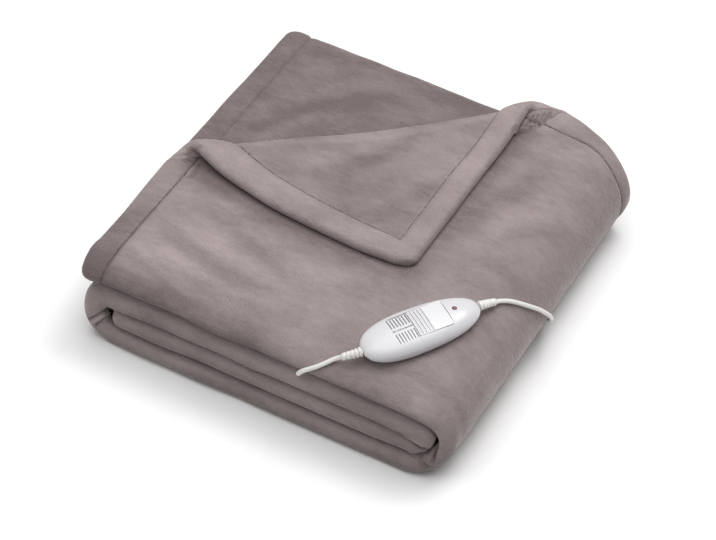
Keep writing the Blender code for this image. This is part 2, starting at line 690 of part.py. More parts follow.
def mains_lead_route(bend, tip):
    """From the right relief over the wide fold, down under its bulge and along the floor to the hank."""
    floor = CORD_DIAMETER / 2 + 0.0002
    turns = ((57, 0.1880), (34, 0.2045), (20, 0.2150), (3, 0.2265), (-14, 0.2375), (-38, 0.2530))
    over = [over_wide_fold(degrees, y) for degrees, y in turns]
    hank_right = HANK_CENTRE[0] + HANK_LENGTH / 2
    run_y = HANK_CENTRE[1]
    plan = [(0.4276, 0.2760, floor + 0.0012), (0.4262, 0.3000, floor + 0.0002), (0.4262, 0.3500, floor)]
    plan += [(0.4262, 0.4000, floor), (0.4262, 0.4480, floor), (0.4205, run_y - 0.0090, floor)]
    plan += [(0.4095, run_y - 0.0012, floor), (hank_right + FACE_GAP, run_y, floor)]
    return from_relief(bend, tip) + over + [PLAN_SHIFT + Vector(point) for point in plan]


def stadium(length, width, steps=8):
    """Outline with two straight sides and two half-round ends."""
    radius = width / 2
    made = []
    for side, start in ((1, -90), (-1, 90)):
        for i in range(steps + 1):
            angle = math.radians(start + 180 * i / steps)
            made.append((side * (length / 2 - radius) + radius * math.cos(angle), radius * math.sin(angle)))
    return made


def make_stadium_block(length, width, low, high, inset=0.0):
    """An upright block of stadium outline, with its upper and lower edges drawn in."""

    def maker(bm):
        edge = min(0.0025, (high - low) / 3)
        levels = [(edge, low), (0.0, low + edge), (0.0, high - edge), (edge, high)]
        loops = []
        for draw, z in levels:
            outline = stadium(length - 2 * draw, width - 2 * draw)
            loops.append([bm.verts.new((x, y, z)) for x, y in outline])
        tube_between_loops(bm, loops)

    return maker


def make_tie(bm):
    """A flat band closed round the hank's middle, standing on the floor side by a thin strip."""
    half_x = TIE_WIDTH / 2
    inner = (HANK_WIDTH / 2 + FACE_GAP, HANK_HEIGHT + FACE_GAP)
    outer = (inner[0] + TIE_THICK, inner[1] + TIE_THICK)
    base = TIE_THICK + 0.0001
    tall = outer[1] + base
    section = [(-outer[0], 0.0001), (outer[0], 0.0001), (outer[0], tall), (-outer[0], tall)]
    tall = inner[1] + base
    hollow = [(-inner[0], base), (inner[0], base), (inner[0], tall), (-inner[0], tall)]
    ends = []
    for x in (-half_x, half_x):
        ends.append([[bm.verts.new((x, y, z)) for y, z in ring] for ring in (section, hollow)])
    for ring in (0, 1):
        tube_between_loops(bm, [ends[0][ring], ends[1][ring]], closed_ends=False)
    for end in ends:
        for i in range(4):
            j = (i + 1) % 4
            bm.faces.new((end[0][i], end[0][j], end[1][j], end[1][i]))


def hank_place():
    return Matrix.Translation(PLAN_SHIFT + Vector((*HANK_CENTRE, 0.0)))


def plug_place():
    """The plug's frame: x points out of its face, from the hank's left end."""
    spot = PLAN_SHIFT + Vector((PLUG_TAIL_X, HANK_CENTRE[1], 0.0))
    return Matrix.Translation(spot) @ Matrix.Rotation(math.pi, 4, "Z")


def make_plug(bm):
    """A flat plug body: narrow at the cord, full width at its face."""
    stations = [(0.0, 0.30, 0.62), (0.004, 0.42, 0.78), (0.014, 0.78, 0.94), (0.024, 1.0, 1.0)]
    stations += [(PLUG_LENGTH - 0.0015, 1.0, 1.0), (PLUG_LENGTH, 0.94, 0.88)]
    loops = []
    for x, wide, tall in stations:
        half_y, half_z = PLUG_WIDTH / 2 * wide, PLUG_HEIGHT / 2 * tall
        ring = []
        for i in range(16):
            angle = 2 * math.pi * (i + 0.5) / 16
            c, s = math.cos(angle), math.sin(angle)
            y = half_y * math.copysign(abs(c) ** 0.45, c)
            z = half_z * math.copysign(abs(s) ** 0.55, s)
            ring.append(bm.verts.new((x, y, PLUG_HEIGHT / 2 + z)))
        loops.append(ring)
    tube_between_loops(bm, loops)


def make_pin(side):
    def maker(bm):
        levels = [(0.0, 1.0), (PIN_LENGTH - 0.002, 1.0), (PIN_LENGTH, 0.6)]
        loops = []
        for way, share in levels:
            ring = []
            for i in range(12):
                angle = 2 * math.pi * i / 12
                y = side * PIN_SPACING / 2 + PIN_RADIUS * share * math.cos(angle)
                z = PLUG_HEIGHT / 2 + PIN_RADIUS * share * math.sin(angle)
                ring.append(bm.verts.new((PLUG_LENGTH + FACE_GAP + way, y, z)))
            loops.append(ring)
        tube_between_loops(bm, loops)

    return maker


def plug_tail_route():
    """The short run from the hank to the plug."""
    start = Vector((HANK_CENTRE[0] - HANK_LENGTH / 2 - FACE_GAP, HANK_CENTRE[1], CORD_DIAMETER / 2 + 0.0002))
    end = Vector((PLUG_TAIL_X + FACE_GAP, HANK_CENTRE[1], PLUG_HEIGHT / 2))
    middle = [(start.x - 0.008, start.y, start.z), (end.x + 0.009, end.y, end.z - 0.0003)]
    return [PLAN_SHIFT + Vector(point) for point in (start, *middle, end)]


def build_lead():
    blanket_side, mains_side = relief_ends()
    add_mesh("blanket_side_relief", make_relief(*blanket_side), CORD)
    add_mesh("mains_side_relief", make_relief(*mains_side), CORD)
    add_cord("lead_to_blanket", left_lead_route(*blanket_side[1:]))
    add_cord("mains_lead", mains_lead_route(*mains_side[1:]))
    block = make_stadium_block(HANK_LENGTH, HANK_WIDTH, TIE_THICK + 0.0004, HANK_HEIGHT + TIE_THICK)
    add_mesh("mains_hank", block, CORD, hank_place())
    add_mesh("hank_tie", make_tie, TIE, hank_place())
    add_cord("plug_tail", plug_tail_route())
    add_mesh("mains_plug", make_plug, SHELL, plug_place())
    for side, name in ((-1, "plug_pin_left"), (1, "plug_pin_right")):
        add_mesh(name, make_pin(side), PINS, plug_place())


def main():
    for obj in list(bpy.data.objects):
        bpy.data.objects.remove(obj)
    build_cloth()
    build_switch()
    build_lead()


main()
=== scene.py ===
"""Looks of the folded electric heated blanket: plush cloth, hand switch, lead in a hank, and plug.

Metres throughout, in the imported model's frame. Sizes that the part's source also holds are repeated here.
"""

import logging
import math
from collections.abc import Callable, Iterator, Sequence
from contextlib import contextmanager
from dataclasses import dataclass, field
from enum import Enum
from typing import Any, Union

import bmesh
import bpy
import numpy as np
from mathutils import Matrix, Vector


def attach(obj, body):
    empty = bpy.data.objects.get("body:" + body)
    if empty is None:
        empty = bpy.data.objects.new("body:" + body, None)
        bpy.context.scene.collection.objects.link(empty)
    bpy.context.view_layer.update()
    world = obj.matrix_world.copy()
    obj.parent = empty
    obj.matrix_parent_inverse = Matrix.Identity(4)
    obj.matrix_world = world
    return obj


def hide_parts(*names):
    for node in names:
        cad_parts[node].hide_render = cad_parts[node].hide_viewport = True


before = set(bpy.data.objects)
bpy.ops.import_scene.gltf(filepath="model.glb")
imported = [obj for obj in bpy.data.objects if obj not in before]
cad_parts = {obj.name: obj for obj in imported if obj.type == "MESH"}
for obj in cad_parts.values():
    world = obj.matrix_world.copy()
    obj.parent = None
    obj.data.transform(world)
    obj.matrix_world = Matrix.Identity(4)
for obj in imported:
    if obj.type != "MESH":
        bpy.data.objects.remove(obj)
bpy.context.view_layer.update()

LOG = logging.getLogger("heated_blanket")
BODY = "blanket"
SLIDER_BODY = "slider"
Array = np.ndarray
Colour = tuple[float, float, float]
Point = tuple[float, float, float]

# The origin lies under the middle of the cloth, this far from the stack's front left corner.
PLAN_SHIFT = Vector((-0.2258, -0.2316, 0.0))
SHEET_THICK = 0.0080
SHEET_PITCH = 0.0089
PACKET = 2 * SHEET_PITCH + SHEET_THICK
PACKET_GAPS = (0.0018, 0.0022, 0.0030)
Z_BOTTOM = PACKET / 2
Z_THIRD = Z_BOTTOM + PACKET + PACKET_GAPS[0]
Z_SECOND = Z_THIRD + PACKET + PACKET_GAPS[1]
Z_TOP = Z_SECOND + PACKET + PACKET_GAPS[2]
TOP = Z_TOP + PACKET / 2
FACE_GAP = 0.0003
CORD_DIAMETER = 0.0050
HEM_WIDTH = 0.030
# The sheet's own map holds its flat places in metres times this.
UV_SCALE = 0.5


def smooth(value: Array) -> Array:
    """Eases from 0 to 1 as the value goes from 0 to 1.

    Args:
        value: Any numbers.

    Returns:
        0 below 0, 1 above 1, and an even ease between them.
    """
    t = np.clip(value, 0.0, 1.0)
    return t * t * (3 - 2 * t)


def bell(value: Array) -> Array:
    """1 at 0, falling to about 0.1 at 1.5, evenly on both sides."""
    return np.exp(-np.square(value))


# ---- Finishes ----


def operator(operation: str, flipped: bool = False) -> Callable[..., "Wired"]:
    """A method that adds one Math node, with its terms the other way round if flipped."""

    def method(self: "Wired", *others: Any) -> "Wired":
        """Adds the node and gives its value."""
        return self.graph.maths(operation, *((*others, self) if flipped else (self, *others)))

    return method


@dataclass(frozen=True)
class Wired:
    """A value in a material, on which Python's operators add Math nodes."""

    graph: "Graph"
    socket: bpy.types.NodeSocket

    __add__ = __radd__ = operator("ADD")
    __mul__ = __rmul__ = operator("MULTIPLY")
    __sub__, __rsub__ = operator("SUBTRACT"), operator("SUBTRACT", flipped=True)
    __truediv__, __abs__ = operator("DIVIDE"), operator("ABSOLUTE")
    __lt__, __gt__ = operator("LESS_THAN"), operator("GREATER_THAN")

    def eased(self, low: float, high: float) -> "Wired":
        """0 at low and 1 at high, with a smooth step between them."""
        values = {"Value": self, "From Min": low, "From Max": high}
        return self.graph.value("ShaderNodeMapRange", {"interpolation_type": "SMOOTHSTEP"}, values)


Input = Union[Wired, float, tuple, bpy.types.NodeSocket]


class Graph:
    """The nodes of one material."""

    def __init__(self, name: str) -> None:
        """Makes the material, with its Principled shader."""
        self.material = bpy.data.materials.new(name)
        self.material.use_nodes = True
        self.tree = self.material.node_tree
        self.shader = self.tree.nodes["Principled BSDF"]

    def node(self, kind: str, settings: dict[str, Any], values: dict[Any, Input]) -> bpy.types.Node:
        """Adds a node.

        Args:
            kind: The node's type.
            settings: Its properties.
            values: What each socket holds or is linked to, by name or number.

        Returns:
            The node.
        """
        made = self.tree.nodes.new(kind)
        for name, value in settings.items():
            setattr(made, name, value)
        for name, value in values.items():
            self.feed(made.inputs[name], value)
        return made

    def feed(self, socket: bpy.types.NodeSocket, value: Input) -> None:
        """Links or sets a socket."""
        if isinstance(value, (Wired, bpy.types.NodeSocket)):
            self.tree.links.new(value.socket if isinstance(value, Wired) else value, socket)
        elif isinstance(value, tuple) and len(socket.default_value) == 4:
            socket.default_value = (*value, 1.0)[:4]
        else:
            socket.default_value = value

    def value(self, kind: str, settings: dict[str, Any], values: dict[Any, Input], output: int = 0) -> Wired:
        """Adds a node and gives one of its outputs as a value."""
        return Wired(self, self.node(kind, settings, values).outputs[output])

    def maths(self, operation: str, *terms: Input) -> Wired:
        """Adds a Math node on these terms."""
        return self.value("ShaderNodeMath", {"operation": operation}, dict(enumerate(terms)))

    def noise(self, scale: float, where: Input, detail: float = 2.0, rough: float = 0.5) -> Wired:
        """Noise from 0 to 1 at this scale, in cycles to the metre."""
        values = {"Vector": where, "Scale": scale, "Detail": detail, "Roughness": rough}
        return self.value("ShaderNodeTexNoise", {}, values)

    def object_place(self) -> bpy.types.NodeSocket:
        """The point in the piece's own frame, which is the model's."""
        return self.node("ShaderNodeTexCoord", {}, {}).outputs["Object"]

    def attribute(self, name: str) -> Wired:
        """A number that the mesh carries at its points."""
        return Wired(self, self.node("ShaderNodeAttribute", {"attribute_name": name}, {}).outputs["Fac"])

    def plan(self, place: Input) -> tuple[Wired, Wired]:
        """The first two coordinates of a place."""
        split = self.node("ShaderNodeSeparateXYZ", {}, {0: place})
        return Wired(self, split.outputs[0]), Wired(self, split.outputs[1])

    def turned(self, place: Input, own: Matrix) -> tuple[Wired, Wired]:
        """The point's x and y in a turned and moved frame."""
        values = {"Vector": place, "Location": tuple(own.translation), "Rotation": tuple(own.to_euler())}
        return self.plan(self.node("ShaderNodeMapping", {"vector_type": "TEXTURE"}, values).outputs[0])

    def mixed(self, share: Input, first: Input, second: Input) -> bpy.types.NodeSocket:
        """The second colour over the first by this share."""
        return self.node("ShaderNodeMix", {"data_type": "RGBA"}, {0: share, 6: first, 7: second}).outputs[2]

    def bumped(self, height: Input, distance: float, strength: float, **under: Input) -> bpy.types.NodeSocket:
        """A normal bent by this height, from the plain one or the Normal that is given."""
        values = {"Height": height, "Distance": distance, "Strength": strength, **under}
        return self.node("ShaderNodeBump", {}, values).outputs[0]

    def dress(self, **sockets: Input) -> bpy.types.Material:
        """Feeds the shader's sockets, each named with _ for a space."""
        for name, value in sockets.items():
            self.feed(self.shader.inputs[name.replace("_", " ")], value)
        return self.material


@dataclass(frozen=True)
class PlushCloth:
    """Short plush pile: clouds of pile brushing, fine fibres, stitched hems and a soft sheen, with painted
    light and shade in its colour.
    """

    # The light and dark ends of the pile's colour: painted highlights go towards the light end, and painted
    # shade towards the pressed dark end.
    brushed: Colour = (0.425, 0.358, 0.355)
    pressed: Colour = (0.160, 0.126, 0.126)
    thread: Colour = (0.085, 0.066, 0.066)
    brush_angle: float = math.radians(29.0)
    brush_stretch: Point = (0.42, 1.0, 0.8)

    def made(self) -> bpy.types.Material:
        """Builds the material, from the sheet's own flat map and its place."""
        g = Graph("plush_cloth")
        place = g.object_place()
        flat = g.node("ShaderNodeUVMap", {"uv_map": "flat"}, {}).outputs[0]
        along, across = (way / UV_SCALE for way in g.plan(flat))
        brush = {"Vector": place, "Rotation": (0.0, 0.0, -self.brush_angle), "Scale": self.brush_stretch}
        brushed_way = g.node("ShaderNodeMapping", {}, brush).outputs[0]
        clouds = g.noise(12.0, place) - 0.5
        strokes = g.noise(46.0, brushed_way, 3.0, 0.6) - 0.5
        flecks = g.noise(170.0, brushed_way, 2.0, 0.6) - 0.5
        fibres = g.noise(560.0, place, 2.0, 0.7) - 0.5
        # Besides the noise, each point's nap value lightens or darkens the pile, both for its tone and as
        # painted light and shade.
        lit = clouds * 0.50 + strokes * 0.46 + flecks * 0.34 + fibres * 0.42 + g.attribute("nap") + 0.5
        colour = g.mixed(g.maths("MINIMUM", g.maths("MAXIMUM", lit, 0.0), 1.0), self.pressed, self.brushed)
        # The stitching follows the hems' inner edge, and not past the corners where two hems meet.
        near = g.maths("MINIMUM", abs(along - HEM_WIDTH), abs(across - HEM_WIDTH))
        inside = (along > HEM_WIDTH - 0.003) * (across > HEM_WIDTH - 0.003)
        seam = (1.0 - near.eased(0.0002, 0.0016)) * inside
        stitches = g.noise(330.0, place, 1.0).eased(0.35, 0.6)
        colour = g.mixed(seam * g.attribute("sewn") * (stitches * 0.45 + 0.40), colour, self.thread)
        puckers = g.noise(120.0, place, 1.0) * (1.0 - near.eased(0.002, 0.012)) * inside
        normal = g.bumped(fibres + flecks * 0.7, 0.0018, 0.6)
        normal = g.bumped(strokes, 0.0035, 0.25, Normal=normal)
        normal = g.bumped(puckers, 0.0022, 0.6, Normal=normal)
        return g.dress(
            Base_Color=colour,
            Roughness=0.92,
            Specular_IOR_Level=0.12,
            Sheen_Weight=0.65,
            Sheen_Roughness=0.30,
            Sheen_Tint=(0.95, 0.87, 0.86),
            Normal=normal,
        )


@dataclass(frozen=True)
class MouldedPlastic:
    """White moulded plastic with a faint unevenness."""

    name: str
    colour: Colour
    roughness: float

    def marked(self, _g: Graph, _place: Input, colour: Input) -> Input:
        """The colour with what is marked on it: nothing on a plain piece."""
        return colour

    def made(self) -> bpy.types.Material:
        """Builds the material."""
        g = Graph(self.name)
        place = g.object_place()
        haze = g.noise(60.0, place)
        colour = g.mixed(haze.eased(0.3, 0.75) * 0.10, self.colour, tuple(0.86 * c for c in self.colour))
        return g.dress(
            Base_Color=self.marked(g, place, colour),
            Roughness=haze * 0.08 + (self.roughness - 0.04),
            Normal=g.bumped(g.noise(900.0, place), 0.00002, 0.6),
        )


@dataclass(frozen=True)
class MarkedPlastic(MouldedPlastic):
    """Plastic with grey lines across it, in the switch's own frame: the scale marks on the shell, and painted
    shadows beside the ribs on the slide.
    """

    place: Matrix
    lines: tuple[float, ...]
    half_width: float
    reach: tuple[float, float]
    strength: float
    mark: Colour = (0.15, 0.14, 0.15)

    def marked(self, g: Graph, place: Input, colour: Input) -> Input:
        """The colour with its lines."""
        x, y = g.turned(place, self.place)
        near: Input = 1.0
        for spot in self.lines:
            near = g.maths("MINIMUM", near, abs(x - spot))
        line = 1.0 - near.eased(self.half_width * 0.6, self.half_width)
        span = (abs(y) > self.reach[0]) * (abs(y) < self.reach[1])
        return g.mixed(line * span * self.strength, colour, self.mark)


@dataclass(frozen=True)
class CordRubber:
    """Soft white cord sheath, a little uneven along its length."""

    colour: Colour = (0.78, 0.765, 0.74)

    def made(self) -> bpy.types.Material:
        """Builds the material."""
        g = Graph("white_cord")
        place = g.object_place()
        waves = g.noise(45.0, place)
        colour = g.mixed(waves.eased(0.3, 0.8) * 0.18, self.colour, tuple(0.82 * c for c in self.colour))
        normal = g.bumped(g.noise(1200.0, place) * 0.5 + waves, 0.00005, 0.5)
        return g.dress(Base_Color=colour, Roughness=waves * 0.10 + 0.38, Normal=normal)


@dataclass(frozen=True)
class RedLens:
    """Clear red lens with a darker rim."""

    place: Matrix
    centre: float
    radius: float

    def made(self) -> bpy.types.Material:
        """Builds the material."""
        g = Graph("red_lens")
        x, y = g.turned(g.object_place(), self.place)
        off = x - self.centre
        away = g.maths("SQRT", off * off + y * y) / self.radius
        colour = g.mixed(away.eased(0.25, 0.85), (0.34, 0.030, 0.050), (0.055, 0.004, 0.010))
        return g.dress(Base_Color=colour, Roughness=away * 0.1 + 0.08, Coat_Weight=0.6, Coat_Roughness=0.05)


@dataclass(frozen=True)
class DarkBand:
    """Dark ribbed band of the tie."""

    def made(self) -> bpy.types.Material:
        """Builds the material."""
        g = Graph("dark_tie")
        place = g.object_place()
        grain = g.noise(700.0, place, 2.0)
        weave = g.value("ShaderNodeTexWave", {"bands_direction": "X"}, {"Vector": place, "Scale": 420.0})
        colour = g.mixed(grain, (0.035, 0.035, 0.037), (0.075, 0.075, 0.078))
        return g.dress(Base_Color=colour, Roughness=grain * 0.2 + 0.5, Normal=g.bumped(weave, 0.0001, 0.7))


@dataclass(frozen=True)
class PlatedPin:
    """Nickel-plated pin with fine turning marks."""

    def made(self) -> bpy.types.Material:
        """Builds the material."""
        g = Graph("plated_pins")
        place = g.object_place()
        marks = g.noise(500.0, place, 3.0)
        colour = g.mixed(marks, (0.62, 0.61, 0.58), (0.76, 0.75, 0.73))
        return g.dress(Base_Color=colour, Metallic=1.0, Roughness=marks * 0.15 + 0.18)


@dataclass(frozen=True)
class PrintedInk:
    """Grey print on the switch."""

    def made(self) -> bpy.types.Material:
        """Builds the material."""
        g = Graph("printed_ink")
        grain = g.noise(800.0, g.object_place(), 2.0)
        colour = g.mixed(grain, (0.055, 0.055, 0.060), (0.115, 0.115, 0.120))
        return g.dress(Base_Color=colour, Roughness=0.55)


# ---- Modelling ----


class Bench:
    """Modelling by operators, with everything chosen in code by its place."""

    @staticmethod
    def take(obj: bpy.types.Object) -> None:
        """Makes this the only selected object."""
        bpy.ops.object.select_all(action="DESELECT")
        obj.select_set(True)
        bpy.context.view_layer.objects.active = obj

    @staticmethod
    def fresh(name: str) -> bpy.types.Object:
        """Names the object that an operator has just added, and takes it."""
        obj = bpy.context.view_layer.objects.active
        obj.name = name
        obj.data.name = name
        Bench.take(obj)
        return obj

    @staticmethod
    @contextmanager
    def edit(obj: bpy.types.Object) -> Iterator[None]:
        """Edit mode on one object, with nothing selected in it at first."""
        Bench.take(obj)
        bpy.ops.object.mode_set(mode="EDIT")
        bpy.ops.mesh.select_all(action="DESELECT")
        yield
        bpy.ops.object.mode_set(mode="OBJECT")

    @staticmethod
    def grown(name: str, ring: Sequence[Point], moves: Sequence[tuple[Point, Point]]) -> bpy.types.Object:
        """A closed body grown from a filled ring by extruding and resizing.

        Args:
            name: The object's name.
            ring: The points of its first end.
            moves: How far each further ring moves, and its factors along the axes.

        Returns:
            The body, closed at both ends.
        """
        bpy.ops.object.select_all(action="DESELECT")
        bpy.ops.mesh.primitive_circle_add(vertices=len(ring), radius=1.0, fill_type="NGON")
        obj = Bench.fresh(name)
        for vert, point in zip(obj.data.vertices, ring):
            vert.co = point
        with Bench.edit(obj):
            bpy.ops.mesh.select_all(action="SELECT")
            bpy.ops.mesh.duplicate()
            for move, factors in moves:
                bpy.ops.mesh.extrude_region_move(TRANSFORM_OT_translate={"value": move})
                bpy.ops.transform.resize(value=factors, center_override=(0.0, 0.0, 0.0))
            bpy.ops.mesh.select_all(action="SELECT")
            bpy.ops.mesh.remove_doubles(threshold=1e-6)
            bpy.ops.mesh.normals_make_consistent(inside=False)
        return obj

    @staticmethod
    def bar(name: str, low: Point, high: Point, cuts: int = 0, edge: float = 0.0) -> bpy.types.Object:
        """A block.

        Args:
            name: Its name.
            low: Its lowest corner.
            high: Its highest corner.
            cuts: How many cuts cross it, for a crown.
            edge: How far its edges are rounded.

        Returns:
            The block.
        """
        size = [b - a for a, b in zip(low, high)]
        bpy.ops.object.select_all(action="DESELECT")
        bpy.ops.mesh.primitive_cube_add(size=1.0, location=[(a + b) / 2 for a, b in zip(low, high)])
        obj = Bench.fresh(name)
        obj.scale = size
        bpy.ops.object.transform_apply(location=True, rotation=True, scale=True)
        for i in range(1, cuts + 1):
            y = low[1] + size[1] * i / (cuts + 1)
            with Bench.edit(obj):
                bpy.ops.mesh.select_all(action="SELECT")
                bpy.ops.mesh.bisect(plane_co=(0.0, y, 0.0), plane_no=(0.0, 1.0, 0.0))
        if edge:
            Bench.change(obj, "BEVEL", width=edge, segments=3, limit_method="ANGLE")
        return obj

    @staticmethod
    def change(obj: bpy.types.Object, kind: str, **settings: Any) -> None:
        """Adds a modifier with these settings and applies it."""
        Bench.take(obj)
        modifier = obj.modifiers.new(kind.lower(), kind)
        for name, value in settings.items():
            setattr(modifier, name, value)
        bpy.ops.object.modifier_apply(modifier=modifier.name)

    @staticmethod
    def cut(obj: bpy.types.Object, cutter: bpy.types.Object, operation: str = "DIFFERENCE") -> None:
        """Cuts or joins another object and removes it."""
        Bench.change(obj, "BOOLEAN", object=cutter, operation=operation, solver="EXACT")
        bpy.data.objects.remove(cutter)

    @staticmethod
    def shape(obj: bpy.types.Object, moved: Callable[[Vector], Sequence[float]]) -> None:
        """Moves every point of a mesh to where the function says."""
        for vert in obj.data.vertices:
            vert.co = moved(vert.co.copy())
        obj.data.update()

    @staticmethod
    def seat(obj: bpy.types.Object, place: Matrix, degrees: float = 35.0) -> None:
        """Carries a finished mesh to its place, with the object at the origin, and smooths it."""
        Bench.take(obj)
        bpy.ops.object.transform_apply(location=True, rotation=True, scale=True)
        obj.data.transform(place)
        obj.data.update()
        bpy.ops.object.shade_smooth_by_angle(angle=math.radians(degrees))

    @staticmethod
    def crowned(obj: bpy.types.Object, crown: float) -> None:
        """Lets a mesh fall away from its middle line, by crown metres for each square metre."""
        Bench.shape(obj, lambda p: (p.x, p.y, p.z - crown * p.y * p.y))


def linked(name: str, data: bpy.types.ID) -> bpy.types.Object:
    """A new object in the scene for this mesh, curve, lamp or camera."""
    obj = bpy.data.objects.new(name, data)
    bpy.context.scene.collection.objects.link(obj)
    return obj


def dressed(
    obj: bpy.types.Object, finish: bpy.types.Material, slot: str, *nodes: str, body: str = BODY
) -> bpy.types.Object:
    """Gives a finished piece its material, body and the CAD nodes that it stands for.

    Args:
        obj: The piece.
        finish: Its material.
        slot: Not used.
        nodes: CAD nodes that it replaces.
        body: The body that it rides on.

    Returns:
        The piece.
    """
    obj.data.materials.clear()
    obj.data.materials.append(finish)
    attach(obj, body)
    if nodes:
        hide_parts(*nodes)
    LOG.info("%s: %s", obj.name, ", ".join(nodes) or "added")
    return obj


# ---- Cloth ----


def off_line(points: Sequence[tuple[float, float]], x: Array, y: Array) -> tuple[Array, Array, float]:
    """Distances from a line of straight runs.

    Args:
        points: The line's corners.
        x: First coordinates of the places.
        y: Second coordinates of the places.

    Returns:
        Each place's distance from the line, how far along the line it lies, and the line's length.
    """
    nearest, place, begun = np.full(x.shape, 9.0), np.zeros(x.shape), 0.0
    for first, second in zip(np.array(points), np.array(points[1:])):
        way = second - first
        share = np.clip(((x - first[0]) * way[0] + (y - first[1]) * way[1]) / (way @ way), 0, 1)
        off = np.hypot(x - first[0] - share * way[0], y - first[1] - share * way[1])
        length = float(np.hypot(*way))
        place = np.where(off < nearest, begun + share * length, place)
        nearest = np.minimum(nearest, off)
        begun += length
    return nearest, place, begun


@dataclass(frozen=True)
class Crease:
    """A trough or ridge drawn through a few given points, in plan or on the front."""

    points: tuple[tuple[float, float], ...]
    width: float
    height: float
    fade: float = 0.3

    def lift(self, x: Array, y: Array) -> Array:
        """How far it lifts each place."""
        off, place, length = off_line(self.points, x, y)
        run = self.fade * length
        ends = smooth(place / run) * smooth((length - place) / run)
        return self.height * bell(off / self.width) * ends


@dataclass
class FoldedSheet:
    """The blanket's one sheet, folded in three across its width and wound four times along its length."""

    depth: float = 0.4420
    back_hem: float = 0.4640
    left_x: float = 0.0397
    wrap_x: float = 0.3999
    wide_radius: float = (Z_TOP - Z_BOTTOM) / 2
    left_radius: float = (Z_SECOND - Z_BOTTOM) / 2
    inner_radius: float = (Z_SECOND - Z_THIRD) / 2
    third_end: float = 0.0315
    third_inset: float = 0.055
    hem_round: float = 0.0045
    stitch_sink: float = 0.0013
    corner: float = 0.018
    front_span: float = 0.060
    crease_left: tuple[float, float] = (0.0, 0.183)
    crease_right: tuple[float, float] = (0.345, 0.455)
    flap_tip: tuple[float, float] = (0.321, 0.168)
    flap_starts: tuple[float, float] = (0.034, 0.412)
    flap_bow: float = 0.0210
    flap_band: float = 0.033
    flap_wider: tuple[float, float] = (1.15, 1.21)
    # How far the stitching is drawn towards the hem's edge on the wide fold.
    hem_drawn: float = 0.0090
    # Soft troughs and ridges on the top, in plan.
    creases: tuple[Crease, ...] = (
        Crease(((0.028, 0.060), (0.150, 0.018)), 0.0080, -0.0024),
        Crease(((0.030, 0.085), (0.190, 0.045)), 0.0100, 0.0026),
        Crease(((0.034, 0.110), (0.200, 0.070)), 0.0100, -0.0022),
        Crease(((0.050, 0.140), (0.230, 0.080)), 0.0120, 0.0020),
        Crease(((0.090, 0.160), (0.260, 0.090)), 0.0140, -0.0016),
        Crease(((0.160, 0.150), (0.290, 0.060)), 0.0140, 0.0014),
        Crease(((0.340, 0.200), (0.400, 0.380)), 0.0160, 0.0018),
        Crease(((0.355, 0.240), (0.440, 0.330)), 0.0140, -0.0016),
        Crease(((0.330, 0.260), (0.370, 0.400)), 0.0120, -0.0014),
        Crease(((0.040, 0.400), (0.160, 0.440)), 0.0140, 0.0016),
        Crease(((0.040, 0.300), (0.180, 0.420)), 0.0160, -0.0018),
        Crease(((0.060, 0.260), (0.120, 0.360)), 0.0120, 0.0014),
        Crease(((0.190, 0.220), (0.270, 0.400)), 0.0160, 0.0018),
        Crease(((0.130, 0.220), (0.240, 0.330)), 0.0140, -0.0016),
        Crease(((0.240, 0.200), (0.290, 0.320)), 0.0120, -0.0012),
        Crease(((0.310, 0.462), (0.334, 0.455), (0.366, 0.447)), 0.0160, 0.0055, 0.40),
    )
    # Narrow puckers where the corner turns over, in plan.
    puckers: tuple[Crease, ...] = (
        Crease(
            ((0.3215, 0.3980), (0.3298, 0.4194), (0.3342, 0.4254), (0.3411, 0.4364), (0.3450, 0.4600)),
            0.0022, -0.0062, 0.15,
        ),
        Crease(((0.3262, 0.4200), (0.3290, 0.4440)), 0.0017, -0.0040),
        Crease(((0.3320, 0.4270), (0.3345, 0.4500)), 0.0017, -0.0040),
        Crease(((0.3375, 0.4330), (0.3402, 0.4560)), 0.0016, -0.0032),
        Crease(((0.3450, 0.4400), (0.3520, 0.4620)), 0.0022, -0.0026),
        Crease(((0.0392, 0.1700), (0.0400, 0.1850), (0.0430, 0.2010)), 0.0030, -0.0030, 0.30),
        Crease(((0.0160, 0.1985), (0.0386, 0.2058)), 0.0022, -0.0022),
        Crease(((0.0180, 0.1930), (0.0380, 0.1926)), 0.0022, -0.0024),
    )
    # Pleats on the front, in x and height; a positive one is pushed in.
    pleats: tuple[Crease, ...] = (
        Crease(((0.0080, 0.0215), (0.0265, 0.0430), (0.0368, 0.0520)), 0.0015, 0.0036, 0.12),
        Crease(((0.0185, 0.0200), (0.0305, 0.0355), (0.0430, 0.0490)), 0.0015, 0.0036, 0.12),
        Crease(((0.0130, 0.0205), (0.0285, 0.0390), (0.0400, 0.0500)), 0.0030, -0.0020, 0.15),
        Crease(((0.004, 0.042), (0.019, 0.052), (0.0291, 0.0545), (0.0442, 0.053)), 0.0020, -0.0016, 0.15),
        Crease(((0.3953, 0.056), (0.4159, 0.0515), (0.424, 0.048), (0.427, 0.038)), 0.0021, 0.0062, 0.15),
        Crease(((0.399, 0.060), (0.418, 0.056), (0.429, 0.050), (0.430, 0.042)), 0.0022, -0.0024, 0.15),
        Crease(((0.403, 0.0315), (0.421, 0.0325), (0.425, 0.040), (0.4225, 0.046)), 0.0025, -0.0026, 0.2),
        Crease(((0.4348, 0.0600), (0.4345, 0.0440), (0.4338, 0.0260)), 0.0021, 0.0060, 0.2),
        Crease(((0.4160, 0.0300), (0.4230, 0.0230), (0.4330, 0.0200)), 0.0030, 0.0030, 0.2),
    )
